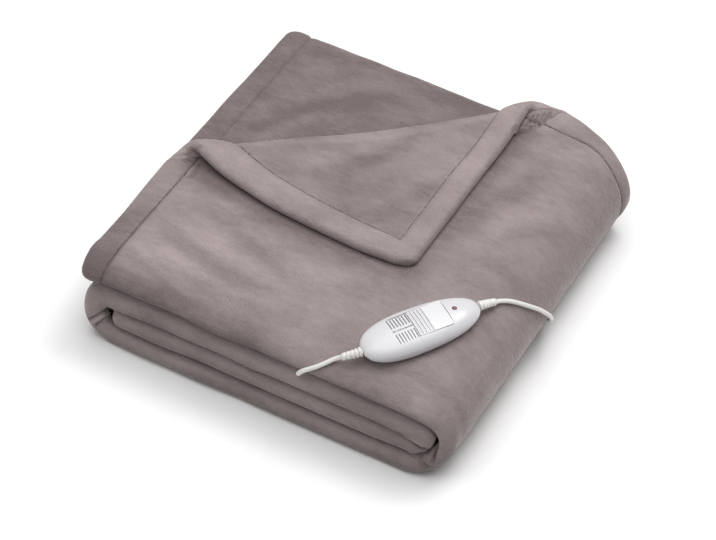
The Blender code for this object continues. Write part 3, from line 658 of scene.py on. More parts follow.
    # The turned corner's two edges in plan, from the crease to its tip; shadow is painted on the top beside
    # them.
    lower_edge: tuple[tuple[float, float], ...] = (
        (0.040, 0.198), (0.066, 0.188), (0.107, 0.183), (0.144, 0.178), (0.211, 0.166), (0.250, 0.164),
        (0.309, 0.163),
    )
    right_edge: tuple[tuple[float, float], ...] = (
        (0.321, 0.408), (0.325, 0.298), (0.322, 0.230), (0.320, 0.168),
    )
    # How far the hems swell: where they're hidden, where they show, and on the turned corner.
    swells: tuple[float, float, float] = (0.0002, 0.0014, 0.0046)
    # How far the inner folds are filled, stand out and draw back at the front.
    hole_fill: float = 0.0120
    inner_out: float = 0.0062
    third_back: float = 0.0042
    # How far the packets lean and stand back at the front, for each metre of height, and the wide fold.
    packet_lean: float = 0.0050
    front_slope: float = 0.115
    wrap_back: float = 0.0090
    # How far the top hem draws in towards the turned corner, and how far it droops over the wide fold.
    back_drawn: float = 0.030
    hem_droop: float = 0.0125
    section_line: tuple[Array, ...] = field(init=False, repr=False)

    def __post_init__(self) -> None:
        """Works out the section's middle line."""
        self.section_line = self.trace_section()

    # -- the flat sheet --

    def trace_section(self) -> tuple[Array, ...]:
        """The folded width's middle line.

        Returns:
            Distance along it, y, height above the packet's middle, and direction, as four arrays.
        """
        p, nose, hook = SHEET_PITCH, 0.012, 0.0052
        front = SHEET_THICK / 2
        turn = p - nose
        fold_y = self.depth - p / 2 - SHEET_THICK / 2

        def arc(cy: float, ch: float, radius: float, start: float, end: float, steps: int) -> list:
            """Points on an arc, by its centre, its radius and its two angles in degrees."""
            angles = [math.radians(start + (end - start) * i / steps) for i in range(steps + 1)]
            return [(cy + radius * math.cos(a), ch + radius * math.sin(a)) for a in angles]

        line = [(y, p) for y in (self.back_hem, 0.30, 0.10, self.front_span, 0.045)]
        line += [(0.035, p - 0.0004), (0.026, p - 0.0006)]
        line += arc(front + nose, turn, nose, 84, 180, 16)
        line += arc(front + hook, turn, hook, 180, 350, 16)[1:]
        line += [(front + 2 * hook + 0.0016, turn + 0.0020), (front + 2 * hook + 0.0050, -0.0002)]
        line += [(self.front_span, 0.0), (fold_y - 0.02, 0.0)]
        line += arc(fold_y, -p / 2, p / 2, 90, -90, 18)
        line += [(fold_y - 0.02, -p), (self.third_inset, -p)]
        points = np.array(line)
        lengths = np.concatenate([[0.0], np.cumsum(np.hypot(*np.diff(points, axis=0).T))])
        fine = np.linspace(0.0, lengths[-1], 4001)
        y, h = np.interp(fine, lengths, points[:, 0]), np.interp(fine, lengths, points[:, 1])
        kernel = np.hanning(15)
        kernel /= kernel.sum()

        def evened(values: Array) -> Array:
            """The values with their corners rounded."""
            return np.convolve(np.pad(values, 7, mode="reflect", reflect_type="odd"), kernel, mode="valid")

        y, h = evened(y), evened(h)
        heading = np.unwrap(np.arctan2(np.gradient(h), np.gradient(y)))
        return fine, y, h, heading

    @property
    def flat_width(self) -> float:
        """The unfolded width."""
        return float(self.section_line[0][-1])

    def runs(self) -> list[float]:
        """Distances along the wound length at which each packet or fold starts, and its end."""
        run = self.wrap_x - self.left_x
        parts = [self.wrap_x, math.pi * self.wide_radius, run, math.pi * self.left_radius, run]
        parts += [math.pi * self.inner_radius, self.wrap_x - self.third_end]
        return [0.0, *np.cumsum(parts)]

    @staticmethod
    def spread(start: float, end: float, step: float) -> list[float]:
        """Even places from start up to, but without, end."""
        count = max(1, round((end - start) / step))
        return [start + (end - start) * i / count for i in range(count)]

    @staticmethod
    def hem_places(fine: bool) -> list[float]:
        """Distances from a hem at which the sheet has points."""
        if not fine:
            return [0.0, 0.0007, 0.0022, 0.0045, 0.011, 0.021]
        edge = [0.0, 0.0005, 0.0014, 0.0028, 0.0046, 0.0080, 0.0125, 0.0175, 0.0225, 0.0265]
        return edge + [0.0285, 0.0293, 0.0300, 0.0307, 0.0316, 0.0340]

    def length_places(self) -> Array:
        """Places along the wound length, closer where it shows."""
        starts = self.runs()
        steps = (0.0056, 0.0056, 0.026, 0.0044, 0.018, 0.0044, 0.018)
        made = self.hem_places(True)
        begin = 0.0385
        for index, step in enumerate(steps):
            end = starts[index + 1] - (0.0250 if index == 6 else 0.0)
            made += self.spread(begin, end, step)
            begin = end
        made += [starts[-1] - way for way in reversed(self.hem_places(False))]
        return np.array(made)

    def width_places(self) -> Array:
        """Places along the folded width, closer at its front and back folds."""
        v, y, _, _ = self.section_line
        front_from = float(v[np.argmax(y < 0.050)])
        middle_from = float(v[(v > front_from + 0.02) & (y > 0.030)][0])
        back_from = float(v[(v > middle_from) & (y > 0.405)][0])
        low_from = float(v[(v > back_from + 0.045) & (y < 0.405)][0])
        made = self.hem_places(True)
        for begin, end, step in (
            (0.0400, front_from, 0.0061),
            (front_from, middle_from, 0.0023),
            (middle_from, back_from, 0.0125),
            (back_from, low_from, 0.0036),
            (low_from, self.flat_width - 0.025, 0.021),
        ):
            made += self.spread(begin, end, step)
        made += [self.flat_width - way for way in reversed(self.hem_places(False))]
        return np.array(made)

    def flat_mesh(self) -> bpy.types.Mesh:
        """The flat sheet as one closed skin: x and y along and across it, and z 1 above and -1 below."""
        us, vs = self.length_places(), self.width_places()
        nu, nv = len(us), len(vs)
        upper = np.arange(nu * nv).reshape(nu, nv)
        lower = upper + nu * nv
        lower[0], lower[-1] = upper[0], upper[-1]
        lower[:, 0], lower[:, -1] = upper[:, 0], upper[:, -1]
        grid = np.stack(np.meshgrid(us, vs, indexing="ij"), axis=-1).reshape(-1, 2)
        side = np.ones((nu, nv))
        side[0] = side[-1] = 0.0
        side[:, 0] = side[:, -1] = 0.0
        points = np.concatenate(
            [np.column_stack([grid, side.ravel()]), np.column_stack([grid, -side.ravel()])], axis=0
        )

        def quads(index: Array, turned: bool) -> list:
            """The faces of a grid of points, the other way round if turned."""
            a, b, c, d = index[:-1, :-1], index[1:, :-1], index[1:, 1:], index[:-1, 1:]
            order = (a, d, c, b) if turned else (a, b, c, d)
            return np.stack(order, axis=-1).reshape(-1, 4).tolist()

        mesh = bpy.data.meshes.new("plush_sheet")
        mesh.from_pydata(points.tolist(), [], quads(upper, True) + quads(lower, False))
        return mesh

    def finer(self, mesh: bpy.types.Mesh, cuts: int, wanted: Callable[..., Array]) -> None:
        """Cuts the wanted faces of the flat sheet finer.

        Args:
            mesh: The flat sheet.
            cuts: How many cuts cross each edge of a wanted face.
            wanted: Takes the faces' flat places u and v, their side, and the x, y and height where they lie.
        """
        work = bmesh.new()
        work.from_mesh(mesh)
        loose = [vert for vert in work.verts if not vert.link_faces]
        bmesh.ops.delete(work, geom=loose, context="VERTS")
        middles = np.array([face.calc_center_median() for face in work.faces])
        u, v, side = middles.T
        x, y, z = (self.placed(u, v, np.sign(side)) - np.array(PLAN_SHIFT)).T
        picked = wanted(u, v, side, x, y, z)
        chosen = {edge for face, take in zip(work.faces, picked) if take for edge in face.edges}
        bmesh.ops.subdivide_edges(work, edges=list(chosen), cuts=cuts, use_grid_fill=True)
        work.to_mesh(mesh)
        work.free()

    def finer_where_it_turns(self, mesh: bpy.types.Mesh) -> None:
        """Cuts the sheet finer along the crease, at its two puckered ends and at the front's pleats.

        Args:
            mesh: The flat sheet.
        """

        def along_crease(u: Array, v: Array, *_: Array) -> Array:
            """Faces along the crease."""
            off, _, _ = self.beyond_crease(u, v)
            return (u < self.wrap_x) & (v < 0.31) & (off > -0.016) & (off < 0.044)

        def puckered(u: Array, v: Array, side: Array, x: Array, y: Array, z: Array) -> Array:
            """Faces that show at the crease's two ends."""
            off, _, _ = self.beyond_crease(u, v)
            right = (x > 0.317) & (x < 0.360) & (y > 0.396) & (y < 0.464)
            left = (x > 0.010) & (x < 0.050) & (y > 0.160) & (y < 0.210)
            shows = np.where(off > 0, side < 0, side > 0)
            return (right | left) & (z > TOP - 0.0030) & shows

        def pleated(_u: Array, _v: Array, side: Array, x: Array, y: Array, z: Array) -> Array:
            """Faces at the two ends of the front folds."""
            left = (x < 0.046) & (z > 0.012) & (z < 0.060)
            right = (x > 0.390) & (x < 0.440) & (z > 0.012) & (z < 0.072)
            return (left | right) & (y < 0.022) & (side > 0)

        self.finer(mesh, 1, along_crease)
        self.finer(mesh, 3, puckered)
        self.finer(mesh, 2, pleated)

    # -- from the flat sheet to its place --

    def rounded(self, u: Array, v: Array) -> tuple[Array, Array]:
        """Rounds the four corners of the flat sheet."""
        r, (near_u, near_v) = self.corner, self.from_edges(u, v)
        qu, qv = np.clip((r - near_u) / r, 0, 1), np.clip((r - near_v) / r, 0, 1)
        inside = (near_u < r) & (near_v < r)
        du = np.where(inside, r - r * qu * np.sqrt(1 - qv * qv / 2) - near_u, 0.0)
        dv = np.where(inside, r - r * qv * np.sqrt(1 - qu * qu / 2) - near_v, 0.0)
        return np.where(u == near_u, u + du, u - du), np.where(v == near_v, v + dv, v - dv)

    def from_edges(self, u: Array, v: Array) -> tuple[Array, Array]:
        """How far each place lies from the nearer end and from the nearer long edge."""
        return np.minimum(u, self.runs()[-1] - u), np.minimum(v, self.flat_width - v)

    def half_thickness(self, u: Array, v: Array, fullness: Array) -> Array:
        """Half the sheet's thickness: round at its edges, full in its hems, sunk along their stitching."""
        near = np.minimum(*self.from_edges(u, v))
        share = np.sqrt(np.clip(1 - np.square(1 - np.clip(near / self.hem_round, 0, 1)), 0, 1))
        swell = np.sqrt(np.clip(np.sin(math.pi * np.clip(near / HEM_WIDTH, 0, 1)), 0, 1))
        ruffle = 1 + 0.25 * np.sin(u * 410 + 2 * np.sin(u * 57)) * np.sin(v * 380 + 2 * np.sin(v * 61))
        groove = self.stitch_sink * ruffle * bell((near - HEM_WIDTH) / 0.0022)
        return (SHEET_THICK / 2 + fullness * swell - groove) * share

    def spiral(self, u: Array) -> tuple[Array, Array, Array]:
        """Winds the sheet's length.

        Args:
            u: Distances along the sheet.

        Returns:
            Where they lie, as x, height and heading.
        """
        starts = self.runs()
        x, z, heading = np.zeros_like(u), np.zeros_like(u), np.zeros_like(u)
        turned = 0.0
        here, height, sign = 0.0, Z_TOP, 1.0
        radii = (None, self.wide_radius, None, self.left_radius, None, self.inner_radius, None)
        for begin, end, radius in zip(starts, starts[1:], radii):
            inside = (u >= begin) & (u <= end + 1e-9)
            way = u[inside] - begin
            if radius is None:
                x[inside] = here + sign * way
                z[inside] = height
                heading[inside] = turned
                here += sign * (end - begin)
                continue
            centre = height - sign * radius
            angle = turned - way / radius
            x[inside] = here - radius * np.sin(angle)
            z[inside] = centre + radius * np.cos(angle)
            heading[inside] = angle
            turned -= math.pi
            height -= 2 * sign * radius
            sign = -sign
        return x, z, heading

    def crease_axes(self) -> tuple[Array, Array, Array, float]:
        """The crease's left end, its direction, the direction out of it and its length."""
        left, right = np.array(self.crease_left), np.array(self.crease_right)
        length = float(np.hypot(*(right - left)))
        along = (right - left) / length
        return left, along, np.array([-along[1], along[0]]), length

    @staticmethod
    def corner_pull(distance: Array, radius: float) -> Array:
        """How far a rounded corner draws in at this distance from its end."""
        reach = np.clip(radius - distance, 0.0, radius)
        return radius - np.sqrt(radius * radius - reach * reach)

    def pressed(self, x: Array, y: Array, heading: Array) -> Array:
        """How much thinner the top packet is."""
        fade = smooth(1 + heading / math.pi)
        front = 0.26 * fade * (1 - smooth(y / self.front_span))
        before = 1 - smooth((y - 0.0915) / 0.0815)
        left = np.where(heading == 0.0, 0.24 * before * (1 - smooth(x / 0.040)), 0.0)
        return np.where(heading < -math.pi, 0.0, np.maximum(front, left))

    def slant(self, x: Array, y: Array) -> Array:
        """How far the top packet's left hems stand to the right."""
        return (-0.0035 + 0.0185 * y / self.depth) * (1 - smooth(x / 0.13))

    def placed(self, u: Array, v: Array, side: Array) -> Array:
        """Carries points of the flat sheet to their places in the folded stack.

        Args:
            u: Distances along the sheet.
            v: Distances across it.
            side: 1 on its upper face and -1 on its lower one.

        Returns:
            Points in the model's frame.
        """
        deep = self.half_thickness(u, v, self.fullness(u, v, side)) * side
        u, v = self.rounded(u, v)
        line, ys, hs, turns = self.section_line
        mid_y, mid_h, turn = np.interp(v, line, ys), np.interp(v, line, hs), np.interp(v, line, turns)
        top_layer = v < line[np.argmin(ys[: len(ys) // 2])]
        x, z, heading = self.spiral(u)
        y, h = mid_y + deep * np.sin(turn), mid_h - deep * np.cos(turn)
        up, out = np.cos(heading), -np.sin(heading)
        front = smooth((self.front_span - y) / (self.front_span - 0.015))
        back = smooth((y - 0.30) / 0.12)
        in_wrap = (heading > -math.pi) & (heading < 0.0)
        lean = self.packet_lean * up * h / (PACKET / 2)
        slope = self.front_slope * (z - Z_BOTTOM) + np.where(in_wrap, self.wrap_back * out * out, 0.0)
        first = heading == 0.0
        pull = np.where(first, self.corner_pull(x, self.corner), 0.0)
        third = heading < -2.9 * math.pi
        pull = np.where(third, self.corner_pull(x - self.third_end, 0.016), pull)
        shift = front * (lean + slope + pull) - np.where(top_layer, 0.0, back * pull * 0.5)
        # The top hem from the crease's right end round the wide fold: how far along, and how high it stands.
        walked = np.where(first, x, self.wrap_x - self.wide_radius * heading) - 0.356
        stands = np.where(top_layer, 1 - smooth(walked / 0.108), 1.0)
        inward = self.back_hem - y
        droop = np.square(np.clip(1 - inward / HEM_WIDTH, 0.0, 1.3)) * smooth((walked - 0.016) / 0.075)
        drawn = np.interp(inward, (0.0, HEM_WIDTH, 0.15), (0.0, 1.0, 0.0))
        drawn *= smooth((walked - 0.004) / 0.06) * (1 - smooth((walked - 0.13) / 0.06))
        shift += (self.hem_drawn * drawn - self.back_drawn * back * (1 - stands)) * top_layer
        h = h - self.hem_droop * stands * droop * top_layer
        h = h - self.pressed(x, y, heading) * (h + PACKET / 2)
        # At the front, the inner folds fill their holes and the wide fold's inner half is thinner.
        at_front = 1 - smooth(y / 0.045)
        inner_side = np.clip(-h / (PACKET / 2), 0.0, 1.0)
        in_left = (heading < -math.pi) & (heading > -2 * math.pi)
        h = h - np.where(in_left, self.hole_fill * at_front * inner_side * out**4, 0.0)
        h = h * np.where(in_wrap & (h < 0), 1 - 0.42 * at_front * out * out, 1.0)
        in_inner = (heading < -2 * math.pi) & (heading > -3 * math.pi)
        ends_left = np.where(third, 1 - smooth((x - self.third_end) / 0.050), 0.0)
        shifted = np.where(in_inner, self.inner_out * out * out, self.third_back * ends_left) * at_front
        moved_x = x + shifted + np.where(first, self.slant(x, y), 0.0)
        points = np.column_stack([moved_x + h * out, y + shift, z + h * up])
        corner = first & top_layer & (y > 0.15)
        points[corner] = self.turned(x[corner], mid_y[corner], deep[corner], points[corner])
        points[:, 2] += self.relief(points[:, 0], points[:, 1], points[:, 2])
        points[:, 1] += self.front_relief(points[:, 0], points[:, 1], points[:, 2])
        points[:, 2] = np.maximum(points[:, 2], 0.0)
        return points + np.array(PLAN_SHIFT)

    def beyond_crease(self, u: Array, v: Array) -> tuple[Array, Array, Array]:
        """Where points lie, seen from the crease.

        Args:
            u: Distances along the sheet.
            v: Distances across it.

        Returns:
            How far each lies beyond the crease, whether it's in the top layer, and whether in the second.
        """
        line, ys, _, _ = self.section_line
        left, _, out, _ = self.crease_axes()
        y = np.interp(v, line, ys)
        off = (u - left[0]) * out[0] + (y - left[1]) * out[1]
        front = line[np.argmin(ys[: len(ys) // 2])]
        fold = line[np.argmax(ys[len(ys) // 3 :]) + len(ys) // 3]
        top_packet = u <= self.wrap_x
        return off, top_packet & (v < front), top_packet & (v > front) & (v < fold)

    def fullness(self, u: Array, v: Array, side: Array) -> Array:
        """How far the hems swell: more on the faces that show, and most on the turned corner."""
        off, top, second = self.beyond_crease(u, v)
        inner = (off > 0) & (top | second)
        shows = np.where(inner, side < 0, side > 0) & (u < self.runs()[2])
        hidden, plain, turned = self.swells
        return np.where(shows, plain + (turned - plain) * smooth(off / 0.012) * top, hidden)

    def nap(self, u: Array, v: Array, placed: Array) -> Array:
        """How light the pile is made: its tone by the way it lies, plus painted light and shade: lighter on
        slopes to the light, painted highlights on rims and ridges, painted shade in troughs, beside the
        turned corner's edges and under the front folds.

        Args:
            u: Distances along the sheet.
            v: Distances across it.
            placed: The same points in the model's frame.

        Returns:
            What to add to the pile's lightness.
        """
        off, top, second = self.beyond_crease(u, v)
        near = np.minimum(u, v)
        body = smooth((near - 0.031) / 0.004)
        turned = smooth(off / 0.012)
        x, y, z = (placed - np.array(PLAN_SHIFT)).T
        towards_tip = smooth((0.31 - y) / 0.10)
        made = np.where(top, turned * (0.12 - (0.22 + 0.09 * towards_tip) * body), 0.0)
        # Painted shade along the stitching of the turned corner's hems.
        made -= np.where(top, turned * 0.16 * bell((near - HEM_WIDTH) / 0.0032), 0.0)
        # Painted highlight along the rim of the roll at the crease.
        made += np.where(top, 0.16 * bell((off - 0.0125) / 0.0045), 0.0)
        # The layer that the turned corner uncovers is darker, partly because its pile lies the other way and
        # partly as painted shade beside the roll, with more painted shade near the crease.
        made = np.where(second, turned * (-0.36 - 0.06 * bell((off - 0.020) / 0.050)), made)
        made = np.where(top & (off <= 0), -0.32 * (1 - body) * (1 - 0.9 * smooth((y - 0.07) / 0.07)), made)
        # Painted light and shade: slopes of the relief that face the light are lighter, and those facing away
        # are darker.
        step = 0.002
        slope_x = (self.relief(x + step, y, z) - self.relief(x - step, y, z)) / (2 * step)
        slope_y = (self.relief(x, y + step, z) - self.relief(x, y - step, z)) / (2 * step)
        made = made + np.clip(1.1 * slope_y - 0.7 * slope_x, -0.2, 0.2)
        # Painted shade in the troughs of the puckers and pleats, and painted highlights on the pleats that
        # stand out; the right end over the wide fold is darkened as painted shade.
        deep = sum(np.minimum(pucker.lift(x, y), 0) for pucker in self.puckers) * (z > TOP - 0.004)
        deep -= 1.6 * sum(pleat.lift(x, z) for pleat in self.pleats) * (y < 0.022)
        made = made + 48 * deep - 0.07 * smooth((x - 0.34) / 0.06)
        # Painted shadow: beside the turned corner's two edges the top is darkened, most where each edge
        # leaves the crease.
        before = top & (off <= 0) & (z < TOP + 0.003)
        for line, dark, reach in ((self.lower_edge, 0.80, 0.021), (self.right_edge, 0.46, 0.020)):
            beside, place, length = off_line(line, x, y)
            made -= np.where(before, dark * bell(beside / reach) * (1 - 0.75 * place / length), 0.0)
        # On the front folds, painted highlights lie on the rims that face up, and painted shade on what lies
        # under them.
        turn = np.interp(v, self.section_line[0], self.section_line[3])
        facing_up = -np.cos(turn) * np.cos(self.spiral(u)[2])
        facing_front = -np.sin(turn)
        tilt = np.arctan2(facing_up, facing_front)
        at_front = smooth((0.034 - y) / 0.020) * (facing_front > 0.05) * ~top
        made += at_front * (0.22 * bell((tilt - 0.75) / 0.45) - 0.26 * smooth((0.2 - tilt) / 0.8))
        # Painted shade on the front faces and on the top's front shoulder, where it turns down away from the
        # light.
        shoulder = smooth((0.050 - y) / 0.035) * smooth((z - 0.070) / 0.020)
        return made - 0.06 * smooth((0.03 - y) / 0.03) - 0.30 * shoulder * smooth((0.30 - x) / 0.12)

    def sewn(self, u: Array, v: Array) -> Array:
        """How plainly the stitching shows: faint on the layer that the turned corner uncovers."""
        off, _, second = self.beyond_crease(u, v)
        return 1.0 - 0.75 * smooth(off / 0.012) * second

    def roll_radius(self, along: Array) -> Array:
        """The roll's radius at the middle of the sheet: fatter at both ends of the crease."""
        left = bell(along / 0.031)
        right = bell((along - 0.438) / 0.030)
        return 0.0056 + 0.0044 * left + 0.0004 * right

    def crease_bow(self, along: Array) -> Array:
        """How far the crease stands out from a straight line."""
        sag = -0.0115 * bell((along - 0.235) / 0.160)
        return sag + 0.0040 * bell((along - 0.427) / 0.030)

    def turned(self, x: Array, y: Array, deep: Array, flat: Array) -> Array:
        """Turns the corner beyond the crease over.

        Args:
            x: Plan places of the unturned sheet.
            y: The same, towards the back.
            deep: Distances from the middle of the sheet, upwards.
            flat: The points' places before the corner is turned.

        Returns:
            The points, those beyond the crease turned over it.
        """
        left, along, out, _ = self.crease_axes()
        a = (x - left[0]) * along[0] + (y - left[1]) * along[1]
        straight = (x - left[0]) * out[0] + (y - left[1]) * out[1]
        bow, roll = self.crease_bow(a), self.roll_radius(a)
        s = straight - bow
        beyond = s > 0
        s = np.maximum(s, 0.0)
        corner = np.array([0.0, self.back_hem]) - left
        corner_a, corner_d = float(corner @ along), float(corner @ out)
        tip = np.array(self.flap_tip) - left
        tip_a, tip_way = float(tip @ along), -float(tip @ out)
        spare = corner_d - float(self.crease_bow(corner_a) + math.pi * self.roll_radius(corner_a))
        angle = np.minimum(s / roll, math.pi)
        way = np.maximum(s - math.pi * roll, 0.0) * tip_way / spare
        # The row's two ends in the flat sheet, and where they come to lie.
        low = corner_a / corner_d * straight
        reach = (self.back_hem - left[1]) / along[1]
        high = reach + (corner_a - reach) / corner_d * straight
        share = way / tip_way
        start, stop = self.flap_starts
        band = self.flap_band
        turned_low, turned_high = start + (tip_a - start) * share, stop + (tip_a - stop) * share
        # The lower band is wider towards the tip, and its edge bows out.
        narrow, wider = self.flap_wider
        widening = narrow + (wider - narrow) * smooth(share / 0.6)
        turned_low = turned_low - self.flap_bow * 4 * share * (1 - share) - band * (widening - narrow)
        over = smooth(s / (math.pi * roll * 1.15))
        new_low, new_high = low + (turned_low - low) * over, high + (turned_high - high) * over
        wide, new_wide = np.maximum(high - low, 1e-5), np.maximum(new_high - new_low, 1e-5)
        flat_slants = [math.hypot(1, corner_a / corner_d), math.hypot(1, (corner_a - reach) / corner_d)]
        new_slants = [math.hypot(1, (tip_a - begin) / tip_way) for begin in (start, stop)]
        bands = [band * slant for slant in flat_slants]
        new_slants[0] = new_slants[0] * widening
        new_bands = [band * (f + (n - f) * over) for f, n in zip(flat_slants, new_slants)]
        scale = np.minimum(1.0, 0.88 * wide / sum(bands))
        new_scale = np.minimum(1.0, 0.88 * new_wide / sum(new_bands))
        row = np.clip(a - low, 0.0, wide)
        knots = [0 * wide, bands[0] * scale, wide - bands[1] * scale, wide]
        ends = [0 * wide, new_bands[0] * new_scale, new_wide - new_bands[1] * new_scale, new_wide]
        new_row = np.zeros_like(row)
        for k in range(3):
            part = np.clip((row - knots[k]) / np.maximum(knots[k + 1] - knots[k], 1e-6), 0.0, 1.0)
            new_row += part * (ends[k + 1] - ends[k])
        new_a = new_low + new_row
        rest = SHEET_THICK + 0.0010
        settled = rest + (2 * roll - rest) * (1 - smooth(way / 0.11))
        lift = np.where(angle < math.pi, roll * (1 - np.cos(angle)), settled)
        outward = np.where(angle < math.pi, roll * np.sin(angle), -way)
        outward = outward + bow * (1 - smooth(way / 0.10)) - deep * np.sin(angle)
        foot_x = left[0] + along[0] * a
        foot_y = left[1] + along[1] * a
        slant = self.slant(foot_x, foot_y) * (1 - smooth(s / 0.06))
        made_x = left[0] + along[0] * new_a + out[0] * outward + slant
        made_y = left[1] + along[1] * new_a + out[1] * outward
        made_z = Z_TOP + SHEET_PITCH + lift + deep * np.cos(angle)
        made = np.column_stack([made_x, made_y, made_z])
        return np.where(beyond[:, None], made, flat)

    def calm(self, x: Array, y: Array) -> Array:
        """0 under the switch and its leads, and 1 away from them."""
        line = [(0.270, 0.000), (0.315, 0.026), (0.3715, 0.094), (0.420, 0.171), (0.460, 0.215)]
        nearest, _, _ = off_line(line, x, y)
        return smooth((nearest - 0.030) / 0.035)

    def relief(self, x: Array, y: Array, z: Array) -> Array:
        """How far the soft creases and swells lift each point."""
        swell = 0.0007 * np.sin(38 * x + 21 * y + 0.6) * np.sin(17 * x - 44 * y + 1.7)
        swell += 0.0004 * np.sin(83 * x - 35 * y + 2.0) * np.sin(29 * x + 77 * y)
        lifted = swell + sum(crease.lift(x, y) for crease in self.creases)
        upper = smooth((z - (Z_TOP - PACKET)) / PACKET)
        gathered = sum(pucker.lift(x, y) for pucker in self.puckers) * smooth((z - TOP + 0.005) / 0.004)
        return lifted * upper * self.calm(x, y) + gathered

    def front_relief(self, x: Array, y: Array, z: Array) -> Array:
        """How far the front folds are pushed in or out by soft troughs."""
        waves = 0.0009 * np.sin(31 * x + 60 * z + 0.4) + 0.0006 * np.sin(74 * x - 90 * z)
        trough = 0.0022 * bell((x - 0.11) / 0.05) * bell((z - 0.083) / 0.012)
        at_front = smooth((0.075 - y) / 0.06) * smooth(z / 0.01)
        pleated = sum(pleat.lift(x, z) for pleat in self.pleats) * smooth((0.022 - y) / 0.008)
        return (waves + trough) * at_front * self.calm(x, y) + pleated

    def build(self) -> None:
        """Makes the sheet and dresses it."""
        mesh = self.flat_mesh()
        self.finer_where_it_turns(mesh)
        LOG.info("plush_sheet has %d triangles", sum(len(face.vertices) - 2 for face in mesh.polygons))
        flat = np.empty(len(mesh.vertices) * 3)
        mesh.vertices.foreach_get("co", flat)
        flat = flat.reshape(-1, 3)
        u, v, side = flat.T
        corners = np.empty(len(mesh.loops), np.int32)
        mesh.loops.foreach_get("vertex_index", corners)
        layer = mesh.uv_layers.new(name="flat")
        layer.uv.foreach_set("vector", (flat[corners, :2] * UV_SCALE).ravel())
        placed = self.placed(u, v, side)
        mesh.vertices.foreach_set("co", placed.ravel())
        for name, values in (("nap", self.nap(u, v, placed)), ("sewn", self.sewn(u, v))):
            mesh.attributes.new(name, "FLOAT", "POINT").data.foreach_set("value", values.astype(np.float32))
        mesh.shade_smooth()
        mesh.update()
        obj = dressed(linked("plush_sheet", mesh), PlushCloth().made(), "cloth", "blanket_cloth")


# ---- Hand switch ----


